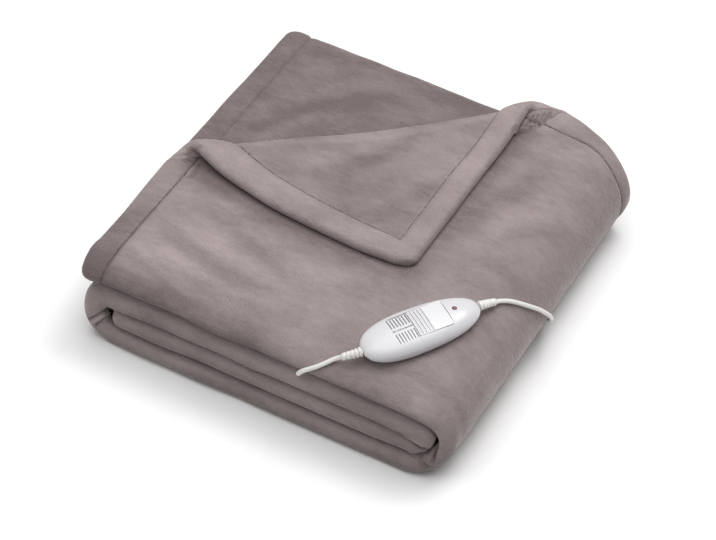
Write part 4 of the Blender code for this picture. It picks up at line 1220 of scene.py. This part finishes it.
@dataclass
class HandSwitch:
    """The slide switch: two shells, the ribbed slide, a scale with digits, and the lens."""

    centre: tuple[float, float] = (0.3715, 0.0940)
    turn: float = math.radians(56.0)
    length: float = 0.1385
    width: float = 0.0550
    height: float = 0.0240
    split: float = 0.0100
    egg: float = 0.10
    square: float = 2.35
    panel_x: tuple[float, float] = (-0.0335, 0.0312)
    panel_width: float = 0.0365
    panel_floor: float = 0.0214
    crown: float = 3.6
    slider_x: tuple[float, float] = (-0.0085, 0.0306)
    slider_width: float = 0.0355
    slider_lift: float = 0.0004
    slider_thick: float = 0.0015
    rib_places: tuple[float, ...] = (-0.0060, -0.0019, 0.0022, 0.0063)
    mark_places: tuple[float, ...] = tuple(-0.0316 + 0.0035 * i for i in range(7))
    mark_reach: tuple[float, float] = (0.0042, 0.0174)
    mark_half_width: float = 0.00055
    lens_x: float = 0.0400
    lens_radius: float = 0.0024
    segments: int = 96
    # The lower shell's outline shares and heights, the upper one's outline shares, and half its end groove.
    lower_levels: tuple[tuple[float, float], ...] = (
        (0.80, 0.0), (0.86, 0.0006), (0.91, 0.0020), (0.955, 0.0042), (0.985, 0.0070), (0.998, 0.0092),
    )
    upper_shares: tuple[float, ...] = (
        1.0, 0.9985, 0.993, 0.985, 0.972, 0.955, 0.93, 0.90, 0.86, 0.81, 0.75, 0.67, 0.58, 0.48, 0.37, 0.25,
        0.12,
    )
    end_arc: tuple[tuple[float, float], ...] = (
        (0.0330, 0.0182), (0.0420, 0.0172), (0.0478, 0.0140), (0.0502, 0.0080), (0.0506, 0.0),
    )

    @property
    def place(self) -> Matrix:
        """From the switch's own frame to the model's."""
        spot = PLAN_SHIFT + Vector((*self.centre, TOP + FACE_GAP))
        return Matrix.Translation(spot) @ Matrix.Rotation(self.turn, 4, "Z")

    def outline(self, share: float) -> list[tuple[float, float]]:
        """The egg-shaped outline.

        Args:
            share: What it is scaled by.

        Returns:
            Its points in plan.
        """
        made = []
        for i in range(self.segments):
            angle = 2 * math.pi * i / self.segments
            c, s = math.cos(angle), math.sin(angle)
            x = math.copysign(abs(c) ** (2 / self.square), c)
            y = math.copysign(abs(s) ** (2 / self.square), s) * (1 - self.egg * x)
            made.append((x * share * self.length / 2, y * share * self.width / 2))
        return made

    def crown_height(self, share: float) -> float:
        """Height of the upper shell where the outline is scaled by share."""
        rise = self.height - self.split - FACE_GAP
        return self.split + FACE_GAP + rise * (1 - min(1.0, share) ** 3) ** 0.46

    def surface(self, x: float, y: float) -> float:
        """The upper shell's surface.

        Args:
            x: A place along the switch.
            y: A place across it.

        Returns:
            The shell's height there.
        """
        unit = x / (self.length / 2)
        low, high = 0.01, 1.2
        for _ in range(30):
            share = (low + high) / 2
            across = abs(y) / (self.width / 2 * share * max(0.2, 1 - self.egg * unit / share))
            inside = abs(unit / share) ** self.square + across**self.square < 1
            low, high = (low, share) if inside else (share, high)
        return self.crown_height(high)

    def stacked(self, name: str, levels: Sequence[tuple[float, float]]) -> bpy.types.Object:
        """A shell grown from its outline, by outline shares and heights, in the switch's own frame."""
        ring = [(x, y, levels[0][1]) for x, y in self.outline(levels[0][0])]
        moves = []
        for (share, height), (new_share, new_height) in zip(levels, levels[1:]):
            moves.append(((0.0, 0.0, new_height - height), (new_share / share, new_share / share, 1.0)))
        return Bench.grown(name, ring, moves)

    def groove(self, name: str, plan: Sequence[tuple[float, float]], radius: float) -> bpy.types.Object:
        """A thin round cutter that follows the upper shell's surface over a line of its plan."""
        return tube(name, [Vector((x, y, self.surface(x, y) + radius * 0.25)) for x, y in plan], radius, 8)

    def build(self) -> None:
        """Makes the shells, the lens, the slide and the print."""
        look = {"lines": self.mark_places, "half_width": 0.00080, "reach": self.mark_reach, "strength": 0.9}
        shell = MarkedPlastic("white_gloss_shell", (0.66, 0.65, 0.67), 0.24, self.place, **look).made()
        lower = self.stacked("lower_shell", [*self.lower_levels, (0.990, self.split)])
        Bench.seat(lower, self.place)
        dressed(lower, shell, "shell", "switch_lower_shell")
        upper = self.upper_shell()
        Bench.seat(upper, self.place, 30.0)
        dressed(upper, shell, "shell", "switch_upper_shell")
        self.lens()
        self.slide()
        self.print_scale()

    def upper_shell(self) -> bpy.types.Object:
        """The crowned upper shell with its sunk panel, scale marks, notches and outline grooves."""
        # The first level is the rim, and the widest one stands a little higher to round its edge.
        levels = [(share, self.crown_height(share) + 0.0004 * (share == 1.0)) for share in self.upper_shares]
        shell = self.stacked("upper_shell", [(0.992, self.split + FACE_GAP), *levels])
        half, floor = self.panel_width / 2, self.panel_floor
        (low_x, high_x), (near, far), wide = self.panel_x, self.mark_reach, self.mark_half_width
        cutters = [((low_x, -half, floor), (high_x, half, self.height + 0.01), 11)]
        for low_y, high_y in ((-far, -near), (near, far)):
            for x in self.mark_places:
                cutters.append(((x - wide, low_y, floor - 0.0005), (x + wide, high_y, floor + 0.0009), 3))
        for low, high, cuts in cutters:
            cutter = Bench.bar("cutter", low, high, cuts)
            Bench.crowned(cutter, self.crown)
            Bench.cut(shell, cutter)
        bpy.ops.object.select_all(action="DESELECT")
        bpy.ops.mesh.primitive_cylinder_add(vertices=48, radius=self.lens_radius + FACE_GAP, depth=0.007,
                                            location=(self.lens_x, 0.0, self.height))
        Bench.cut(shell, Bench.fresh("lens_hole"))
        arc = [*self.end_arc, *((x, -y) for x, y in reversed(self.end_arc[:-1]))]
        Bench.cut(shell, self.groove("end_groove", smooth_line(arc, 0.0012), 0.00030))
        for side, x in ((1, -0.0071), (-1, -0.0100)):
            notch = [(x, side * (0.0196 + 0.0012 * i)) for i in range(6)]
            Bench.cut(shell, self.groove("side_notch", notch, 0.00032))
        return shell

    def lens(self) -> None:
        """The small red dome."""
        radius, rim = self.lens_radius, self.crown_height(2 * self.lens_x / self.length)
        bpy.ops.object.select_all(action="DESELECT")
        bpy.ops.mesh.primitive_uv_sphere_add(segments=32, ring_count=16, radius=radius, location=(0, 0, 0))
        lens = Bench.fresh("lens_dome")
        foot, flatness = self.height - 0.0035 + FACE_GAP - rim, 0.42

        def dome(p: Vector) -> Point:
            """Flattens the sphere's upper half and draws the lower one down to a foot."""
            rise = p.z * flatness if p.z > 0 else foot * min(1.0, -p.z / radius)
            return p.x + self.lens_x, p.y, rim + rise

        Bench.shape(lens, dome)
        Bench.seat(lens, self.place, 60.0)
        dressed(lens, RedLens(self.place, self.lens_x, radius).made(), "lens", "indicator_lens")

    def slide(self) -> None:
        """The thin ribbed slide on its crowned track."""
        low, half, edge = self.panel_floor + self.slider_lift, self.slider_width / 2, 0.0003
        top, (first, last) = low + self.slider_thick, self.slider_x
        plate = Bench.bar("heat_slide", (first, -half, low), (last, half, top), 11, edge)
        for x in self.rib_places:
            rib_low = (x - 0.0007, -half + 0.0015, low + self.slider_thick / 2)
            rib_high = (x + 0.0007, half - 0.0015, top + 0.0006)
            Bench.cut(plate, Bench.bar("rib", rib_low, rib_high, 7, edge), "UNION")
        Bench.crowned(plate, self.crown)
        Bench.seat(plate, self.place, 30.0)
        # Painted shadow: a dark line just beside each rib.
        rib_shadows = tuple(x + 0.0011 for x in self.rib_places)
        look = {"lines": rib_shadows, "half_width": 0.00075, "reach": (-1.0, half - 0.0012), "strength": 0.85}
        finish = MarkedPlastic("white_satin_slide", (0.72, 0.71, 0.73), 0.30, self.place, **look).made()
        dressed(plate, finish, "slider", "heat_slider", body=SLIDER_BODY)

    def print_scale(self) -> None:
        """The digits between the two columns of marks, one for each pair."""
        ink = PrintedInk().made()
        lettering = {"size": 0.0044, "offset": 0.00012, "extrude": 0.00003}
        lettering |= {"align_x": "CENTER", "align_y": "CENTER"}
        for number, x in enumerate(self.mark_places):
            bpy.ops.object.select_all(action="DESELECT")
            bpy.ops.object.text_add(location=(0.0, 0.0, 0.0))
            text = bpy.context.view_layer.objects.active
            for name, value in {"body": str(number), **lettering}.items():
                setattr(text.data, name, value)
            bpy.ops.object.convert(target="MESH")
            printed = Bench.fresh(f"digit_{number}")
            spot = Matrix.Translation((x, 0.0, self.panel_floor + 0.00004))
            Bench.seat(printed, self.place @ spot @ Matrix.Rotation(-math.pi / 2, 4, "Z"))
            dressed(printed, ink, "shell")


def smooth_line(points: Sequence[Sequence[float]], step: float) -> list[tuple[float, ...]]:
    """Points about a step apart on a smooth curve through the given ones.

    Args:
        points: The points that it passes through.
        step: The distance wanted between the new points.

    Returns:
        The new points, the first and last being the given ends.
    """
    given = np.array(points, float)
    padded = np.vstack([2 * given[0] - given[1], given, 2 * given[-1] - given[-2]])
    fine = []
    for a, b, c, d in zip(padded, padded[1:], padded[2:], padded[3:]):
        for t in np.arange(12) / 12:
            square, cube = 2 * a - 5 * b + 4 * c - d, 3 * b - a - 3 * c + d
            fine.append(0.5 * (2 * b + (c - a) * t + square * t * t + cube * t**3))
    fine = np.array([*fine, given[-1]])
    lengths = np.concatenate([[0.0], np.cumsum(np.linalg.norm(np.diff(fine, axis=0), axis=1))])
    places = np.linspace(0.0, lengths[-1], max(2, round(lengths[-1] / step)) + 1)
    return [tuple(float(np.interp(place, lengths, column)) for column in fine.T) for place in places]


def tube(
    name: str, points: Sequence[Vector], radius: Union[float, Sequence[float]], sides: int
) -> bpy.types.Object:
    """A round closed mesh tube along a line of points.

    Args:
        name: The object's name.
        points: The middle line.
        radius: One radius, or one for each point.
        sides: How many sides it has.

    Returns:
        The tube, in the frame of the points.
    """
    radii = [radius] * len(points) if isinstance(radius, float) else list(radius)
    turns = [2 * math.pi * k / sides for k in range(sides)]
    work = bmesh.new()
    loops = []
    across = (points[1] - points[0]).normalized().orthogonal().normalized()
    for i, (point, size) in enumerate(zip(points, radii)):
        way = (points[min(i + 1, len(points) - 1)] - points[max(i - 1, 0)]).normalized()
        across = (across - way * across.dot(way)).normalized()
        other = way.cross(across)
        ring = [point + (across * math.cos(t) + other * math.sin(t)) * size for t in turns]
        loops.append([work.verts.new(spot) for spot in ring])
    for first, second in zip(loops, loops[1:]):
        for k in range(sides):
            j = (k + 1) % sides
            work.faces.new((first[k], first[j], second[j], second[k]))
    work.faces.new(loops[0])
    work.faces.new(loops[-1])
    bmesh.ops.recalc_face_normals(work, faces=work.faces)
    mesh = bpy.data.meshes.new(name)
    work.to_mesh(mesh)
    work.free()
    mesh.shade_smooth()
    return linked(name, mesh)


# ---- Leads, hank and plug ----


class LeadSide(Enum):
    """The two cords of the switch."""

    BLANKET = -1
    MAINS = 1


@dataclass
class Leads:
    """The two leads, their ribbed reliefs, the tied hank and the plug."""

    switch: HandSwitch
    tips: tuple[tuple[float, float], ...] = ((0.3151, 0.0260), (0.4200, 0.1714))
    tip_heights: tuple[float, float] = (0.0024, 0.0033)
    bend: float = 0.0080
    relief_root: float = 0.0052
    relief_tip: float = 0.0036
    relief_height: float = 0.0105
    cord_gap: float = 0.0009
    hank_centre: tuple[float, float] = (0.330, 0.4745)
    hank_run: float = 0.089
    rings: tuple[float, float] = (0.0155, 0.0205)
    levels: tuple[float, ...] = (0.0041, 0.0091, 0.0141)
    plug_tail_x: float = 0.226
    plug_length: float = 0.036
    plug_width: float = 0.030
    plug_height: float = 0.014
    pin_radius: float = 0.0020
    pin_length: float = 0.0190
    pin_spacing: float = 0.0186
    rubber: bpy.types.Material = field(default_factory=lambda: CordRubber().made())

    def relief_line(self, side: LeadSide) -> tuple[Vector, Vector, Vector]:
        """Root, bend and tip of a relief."""
        index = 0 if side is LeadSide.BLANKET else 1
        tip = PLAN_SHIFT + Vector((*self.tips[index], TOP + self.tip_heights[index]))
        reach = [self.switch.length / 2 + out for out in (FACE_GAP, self.bend)]
        root, bend = [self.switch.place @ Vector((side.value * x, 0.0, self.relief_height)) for x in reach]
        return root, bend, tip

    def relief(self, side: LeadSide) -> bpy.types.Object:
        """A tapered sleeve with five raised ribs, on its bent line."""
        root, bend, tip = self.relief_line(side)
        points, radii = [], []
        for t in np.linspace(0.0, 1.0, 73).tolist():
            points.append(root * (1 - t) ** 2 + bend * 2 * t * (1 - t) + tip * t * t)
            rib = (t * 5.0) % 1.0
            ridge = float(smooth((0.5 - abs(rib - 0.5)) / 0.24) - 0.5) if t < 0.985 else -0.5
            taper = self.relief_root + (self.relief_tip - self.relief_root) * t
            radii.append(taper - 0.0005 + 0.0017 * ridge)
        name = side.name.lower()
        return dressed(tube(f"{name}_relief", points, radii, 28), self.rubber, "cord", f"{name}_side_relief")

    def from_relief(self, side: LeadSide) -> list[Vector]:
        """The cord's first points, in line with its relief."""
        _, bend, tip = self.relief_line(side)
        way = (tip - bend).normalized()
        return [tip + way * 0.0002, tip + way * self.cord_gap, tip + way * 0.0085]

    def blanket_route(self) -> list[Vector]:
        """From the left relief over the front shoulder into the crease under the top packet."""
        # Places in plan, and how far under the top of the stack.
        plan = [(0.2962, 0.0131, 0.0087), (0.2869, 0.0077, 0.0138), (0.2797, 0.0049, 0.0185)]
        plan += [(0.2754, 0.0038, 0.0236), (0.2735, 0.0062, 0.0280)]
        points = self.from_relief(LeadSide.BLANKET)
        points += [PLAN_SHIFT + Vector((x, y, TOP - under)) for x, y, under in plan]
        return [Vector(p) for p in smooth_line(points, 0.004)]

    def over_fold(self, degrees: float, y: float) -> Vector:
        """A point of the mains lead on the wide fold, by its angle above the fold's middle."""
        radius = (Z_TOP - Z_BOTTOM) / 2 + PACKET / 2 + CORD_DIAMETER / 2 + self.cord_gap
        angle = math.radians(degrees)
        centre = Vector((FoldedSheet.wrap_x, y, (Z_TOP + Z_BOTTOM) / 2))
        return PLAN_SHIFT + centre + Vector((math.cos(angle), 0.0, math.sin(angle))) * radius

    def mains_route(self) -> list[Vector]:
        """From the right relief over the wide fold, along the floor, through the hank and on to the plug."""
        floor = CORD_DIAMETER / 2 + 0.0002
        turns = ((57, 0.1880), (34, 0.2045), (20, 0.2150), (3, 0.2265), (-14, 0.2375), (-38, 0.2530))
        first = self.from_relief(LeadSide.MAINS) + [self.over_fold(degrees, y) for degrees, y in turns]
        run_x, corner = 0.4262, 0.0240
        plan = [(run_x + 0.0014, 0.2760, floor + 0.0012), (run_x, 0.3000, floor + 0.0002)]
        plan += [(run_x, y, floor) for y in (0.3500, 0.3900, 0.4220)]
        run_y = self.hank_centre[1] - self.rings[1]
        for i in range(6):
            angle = math.radians(90 * i / 5)
            x = run_x - corner + corner * math.cos(angle)
            plan.append((x, run_y - corner + corner * math.sin(angle), floor + 0.0002 * i))
        lead = smooth_line([*first, *(PLAN_SHIFT + Vector(p) for p in plan)], 0.005)
        # From the hank's end, up over its turn and down to the plug.
        loops = self.hank_points()
        (hank_x, hank_y), top = self.hank_centre, self.levels[2]
        left, near = hank_x - self.hank_run / 2, hank_y - self.rings[0]
        tail = [(left + 0.024, near, top + 0.0006), (left + 0.006, near, top + 0.0040)]
        tail += [(left - 0.010, near + 0.0006, top + 0.0053), (left - 0.026, near + 0.0045, top + 0.0030)]
        tail += [(left - 0.040, hank_y - 0.0045, 0.0095), (self.plug_tail_x + 0.008, hank_y - 0.0003, 0.0072)]
        tail += [(self.plug_tail_x + 0.0004, hank_y, 0.0070)]
        join = smooth_line([loops[-1], *(PLAN_SHIFT + Vector(p) for p in tail)], 0.005)
        return [Vector(p) for p in (*lead, *loops[1:], *join[1:])]

    def hank_points(self) -> list[Vector]:
        """Five laps of the hank, each moving to the next place of the bundle along its far run."""
        places = ((1, 0), (0, 0), (0, 1), (1, 1), (1, 2), (0, 2))
        slots = [(self.rings[ring], self.levels[level]) for ring, level in places]
        run, half = self.hank_run, self.hank_run / 2
        points = []
        for lap, ((here, height), (there, next_height)) in enumerate(zip(slots, slots[1:])):
            points += [(half - run * i / 12, -here, height) for i in range(12)]
            for i in range(14):
                angle = -math.pi / 2 - math.pi * i / 14
                points.append((-half + here * math.cos(angle), here * math.sin(angle), height))
            shift_from = 0.10 + 0.16 * (4 - lap)
            for share in np.arange(24) / 24:
                moved = smooth((share - shift_from) / 0.17)
                lifted = height + (next_height - height) * moved
                points.append((-half + run * share, here + (there - here) * moved, lifted))
            for i in range(14):
                angle = math.pi / 2 - math.pi * i / 14
                points.append((half + there * math.cos(angle), there * math.sin(angle), next_height))
        last, height = slots[-1]
        points += [(half - run * i / 12, -last, height) for i in range(3)]
        # The bundle is highest under its tie.
        made = [(x, y, z - 0.0011 * smooth((abs(x) - 0.006) / 0.030)) for x, y, z in points]
        return [PLAN_SHIFT + Vector((*self.hank_centre, 0.0)) + Vector(p) for p in made]

    def cord(
        self, name: str, side: LeadSide, points: Sequence[Vector], nodes: Sequence[str], digits: int,
        far_end: str, pieces: Sequence[bpy.types.Object],
    ) -> None:
        """A cord as a curve of one open spline.

        Args:
            name: The object's name.
            side: Not used.
            points: Its route.
            nodes: CAD nodes that it replaces.
            digits: Not used.
            far_end: Not used.
            pieces: Not used.
        """
        curve = bpy.data.curves.new(name, "CURVE")
        curve.dimensions = "3D"
        curve.bevel_depth = CORD_DIAMETER / 2
        curve.bevel_resolution = 4
        curve.use_fill_caps = True
        spline = curve.splines.new("POLY")
        spline.points.add(len(points) - 1)
        for spot, point in zip(spline.points, points):
            spot.co = (*point, 1.0)
        spline.use_smooth = True
        obj = dressed(linked(name, curve), self.rubber, "cord", *nodes)

    def plug(self) -> list[bpy.types.Object]:
        """The flat plug with its grip ribs, and its two pins with their sleeves."""
        spot = PLAN_SHIFT + Vector((self.plug_tail_x, self.hank_centre[1], 0.0))
        place = Matrix.Translation(spot) @ Matrix.Rotation(math.pi, 4, "Z")
        # Each station's place along the plug, and its shares of the full width and height.
        stations = [(0.0, 0.27, 0.58), (0.0008, 0.31, 0.64), (0.0040, 0.40, 0.76), (0.0090, 0.58, 0.86)]
        stations += [(0.0140, 0.80, 0.93), (0.0190, 0.94, 0.98), (0.0240, 1.0, 1.0), (0.0335, 1.0, 1.0)]
        stations += [(0.0352, 0.985, 0.97), (self.plug_length, 0.94, 0.88)]
        half_y, half_z = self.plug_width / 2, self.plug_height / 2
        first_y, first_z = half_y * stations[0][1], half_z * stations[0][2]
        ring = []
        for i in range(48):
            angle = 2 * math.pi * i / 48
            c, s = math.cos(angle), math.sin(angle)
            y, z = math.copysign(abs(c) ** 0.55, c) * first_y, math.copysign(abs(s) ** 0.60, s) * first_z
            ring.append((0.0, y, z))
        moves = []
        for (x, wide, tall), (new_x, new_wide, new_tall) in zip(stations, stations[1:]):
            moves.append(((new_x - x, 0.0, 0.0), (1.0, new_wide / wide, new_tall / tall)))
        body = Bench.grown("plug_body", ring, moves)
        grip = Vector((0.0006, 0.0060, 0.0012))
        for i in range(4):
            for side in (-1, 1):
                spot = Vector((0.0120 + 0.0026 * i, 0.0, side * half_z * 0.96))
                Bench.cut(body, Bench.bar("grip", spot - grip, spot + grip, edge=0.0003))
        Bench.seat(body, place @ Matrix.Translation((0.0, 0.0, half_z)), 40.0)
        finish = MouldedPlastic("white_plug", (0.78, 0.77, 0.765), 0.34).made()
        pieces = [dressed(body, finish, "shell", "mains_plug")]
        metal, end = PlatedPin().made(), self.pin_length
        profile = [(0.0, 0.96), (0.0098, 0.96), (0.0100, 0.90), (0.0102, 1.0), (end - 0.0022, 1.0)]
        profile += [(end - 0.0012, 0.92), (end - 0.0004, 0.72), (end, 0.40)]
        radii = [self.pin_radius * share for _, share in profile]
        for name, y in (("left", -self.pin_spacing / 2), ("right", self.pin_spacing / 2)):
            line = [Vector((self.plug_length + FACE_GAP + way, y, half_z)) for way, _ in profile]
            pin = tube(f"pin_{name}", line, radii, 24)
            Bench.seat(pin, place, 50.0)
            pieces.append(dressed(pin, metal, "pins", f"plug_pin_{name}"))
        return pieces

    def build(self) -> None:
        blanket, mains = LeadSide.BLANKET, LeadSide.MAINS
        left, right = self.relief(blanket), self.relief(mains)
        self.cord("blanket_lead", blanket, self.blanket_route(), ["lead_to_blanket"], 3, "object", [left])
        pieces = self.plug()
        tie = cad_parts["hank_tie"]
        tie.data.materials.clear()
        tie.data.materials.append(DarkBand().made())
        nodes = ["mains_lead", "mains_hank", "plug_tail"]
        self.cord("mains_cord", mains, self.mains_route(), nodes, 2, "plug", [right, tie, *pieces])


# ---- Stage ----


@dataclass
class Studio:
    """White floor, soft lights and the camera."""

    look_at: Point = (0.0149, -0.0377, 0.045)
    camera_at: Point = (1.2021, -2.1664, 2.7606)
    # The camera's sensor in millimetres, and its focal length in sensor widths.
    sensor: float = 36.0
    focal: float = 3328 / 716
    surround: float = 0.23
    # Each lamp's name, place, size and power.
    lamps: tuple[tuple[str, Point, float, float], ...] = (
        ("sky", (0.1, 0.3, 3.4), 4.0, 118.0),
        ("key", (0.5, 1.3, 2.6), 1.2, 26.0),
        ("fill", (-1.6, -1.8, 1.6), 1.6, 8.0),
    )

    def camera(self) -> None:
        """The camera at the photograph's angle."""
        data = bpy.data.cameras.new("camera")
        data.lens, data.sensor_width = self.focal * self.sensor, self.sensor
        data.clip_start, data.clip_end = 0.05, 50.0
        camera = linked("camera", data)
        camera.location = self.camera_at
        way = Vector(self.camera_at) - Vector(self.look_at)
        camera.rotation_euler = way.to_track_quat("Z", "Y").to_euler()
        bpy.context.scene.camera = camera

    def light(self, name: str, place: Point, size: float, power: float) -> None:
        """A square soft light that points at the stack."""
        data = bpy.data.lights.new(name, "AREA")
        data.size, data.energy = size, power
        lamp = linked(name, data)
        lamp.location = place
        lamp.rotation_euler = (Vector(place) - Vector((0.0, 0.0, 0.05))).to_track_quat("Z", "Y").to_euler()

    def floor(self) -> None:
        """The white floor."""
        bpy.ops.object.select_all(action="DESELECT")
        bpy.ops.mesh.primitive_plane_add(size=14.0, location=(0.0, 0.0, 0.0))
        floor = Bench.fresh("studio_floor")
        g = Graph("studio_paper")
        paper = g.mixed(g.noise(3.0, g.object_place()), (0.93, 0.93, 0.93), (0.94, 0.94, 0.94))
        floor.data.materials.append(g.dress(Base_Color=paper, Roughness=0.9, Specular_IOR_Level=0.0))

    def build(self) -> None:
        """Sets up the stage."""
        self.camera()
        self.floor()
        world = bpy.data.worlds.new("studio")
        world.use_nodes = True
        around = world.node_tree.nodes["Background"].inputs
        around["Color"].default_value = (1.0, 1.0, 1.0, 1.0)
        around["Strength"].default_value = self.surround
        bpy.context.scene.world = world
        for lamp in self.lamps:
            self.light(*lamp)
        view = bpy.context.scene.view_settings
        view.view_transform = "Standard"
        view.look = "None"
        view.exposure = 0.0


def main() -> None:
    """Builds the stage, then each sub-assembly in order."""
    logging.basicConfig(level=logging.INFO, format="%(name)s: %(message)s")
    Studio().build()
    switch = HandSwitch()
    Leads(switch).build()
    switch.build()
    FoldedSheet().build()


if __name__ == "__main__":
    main()
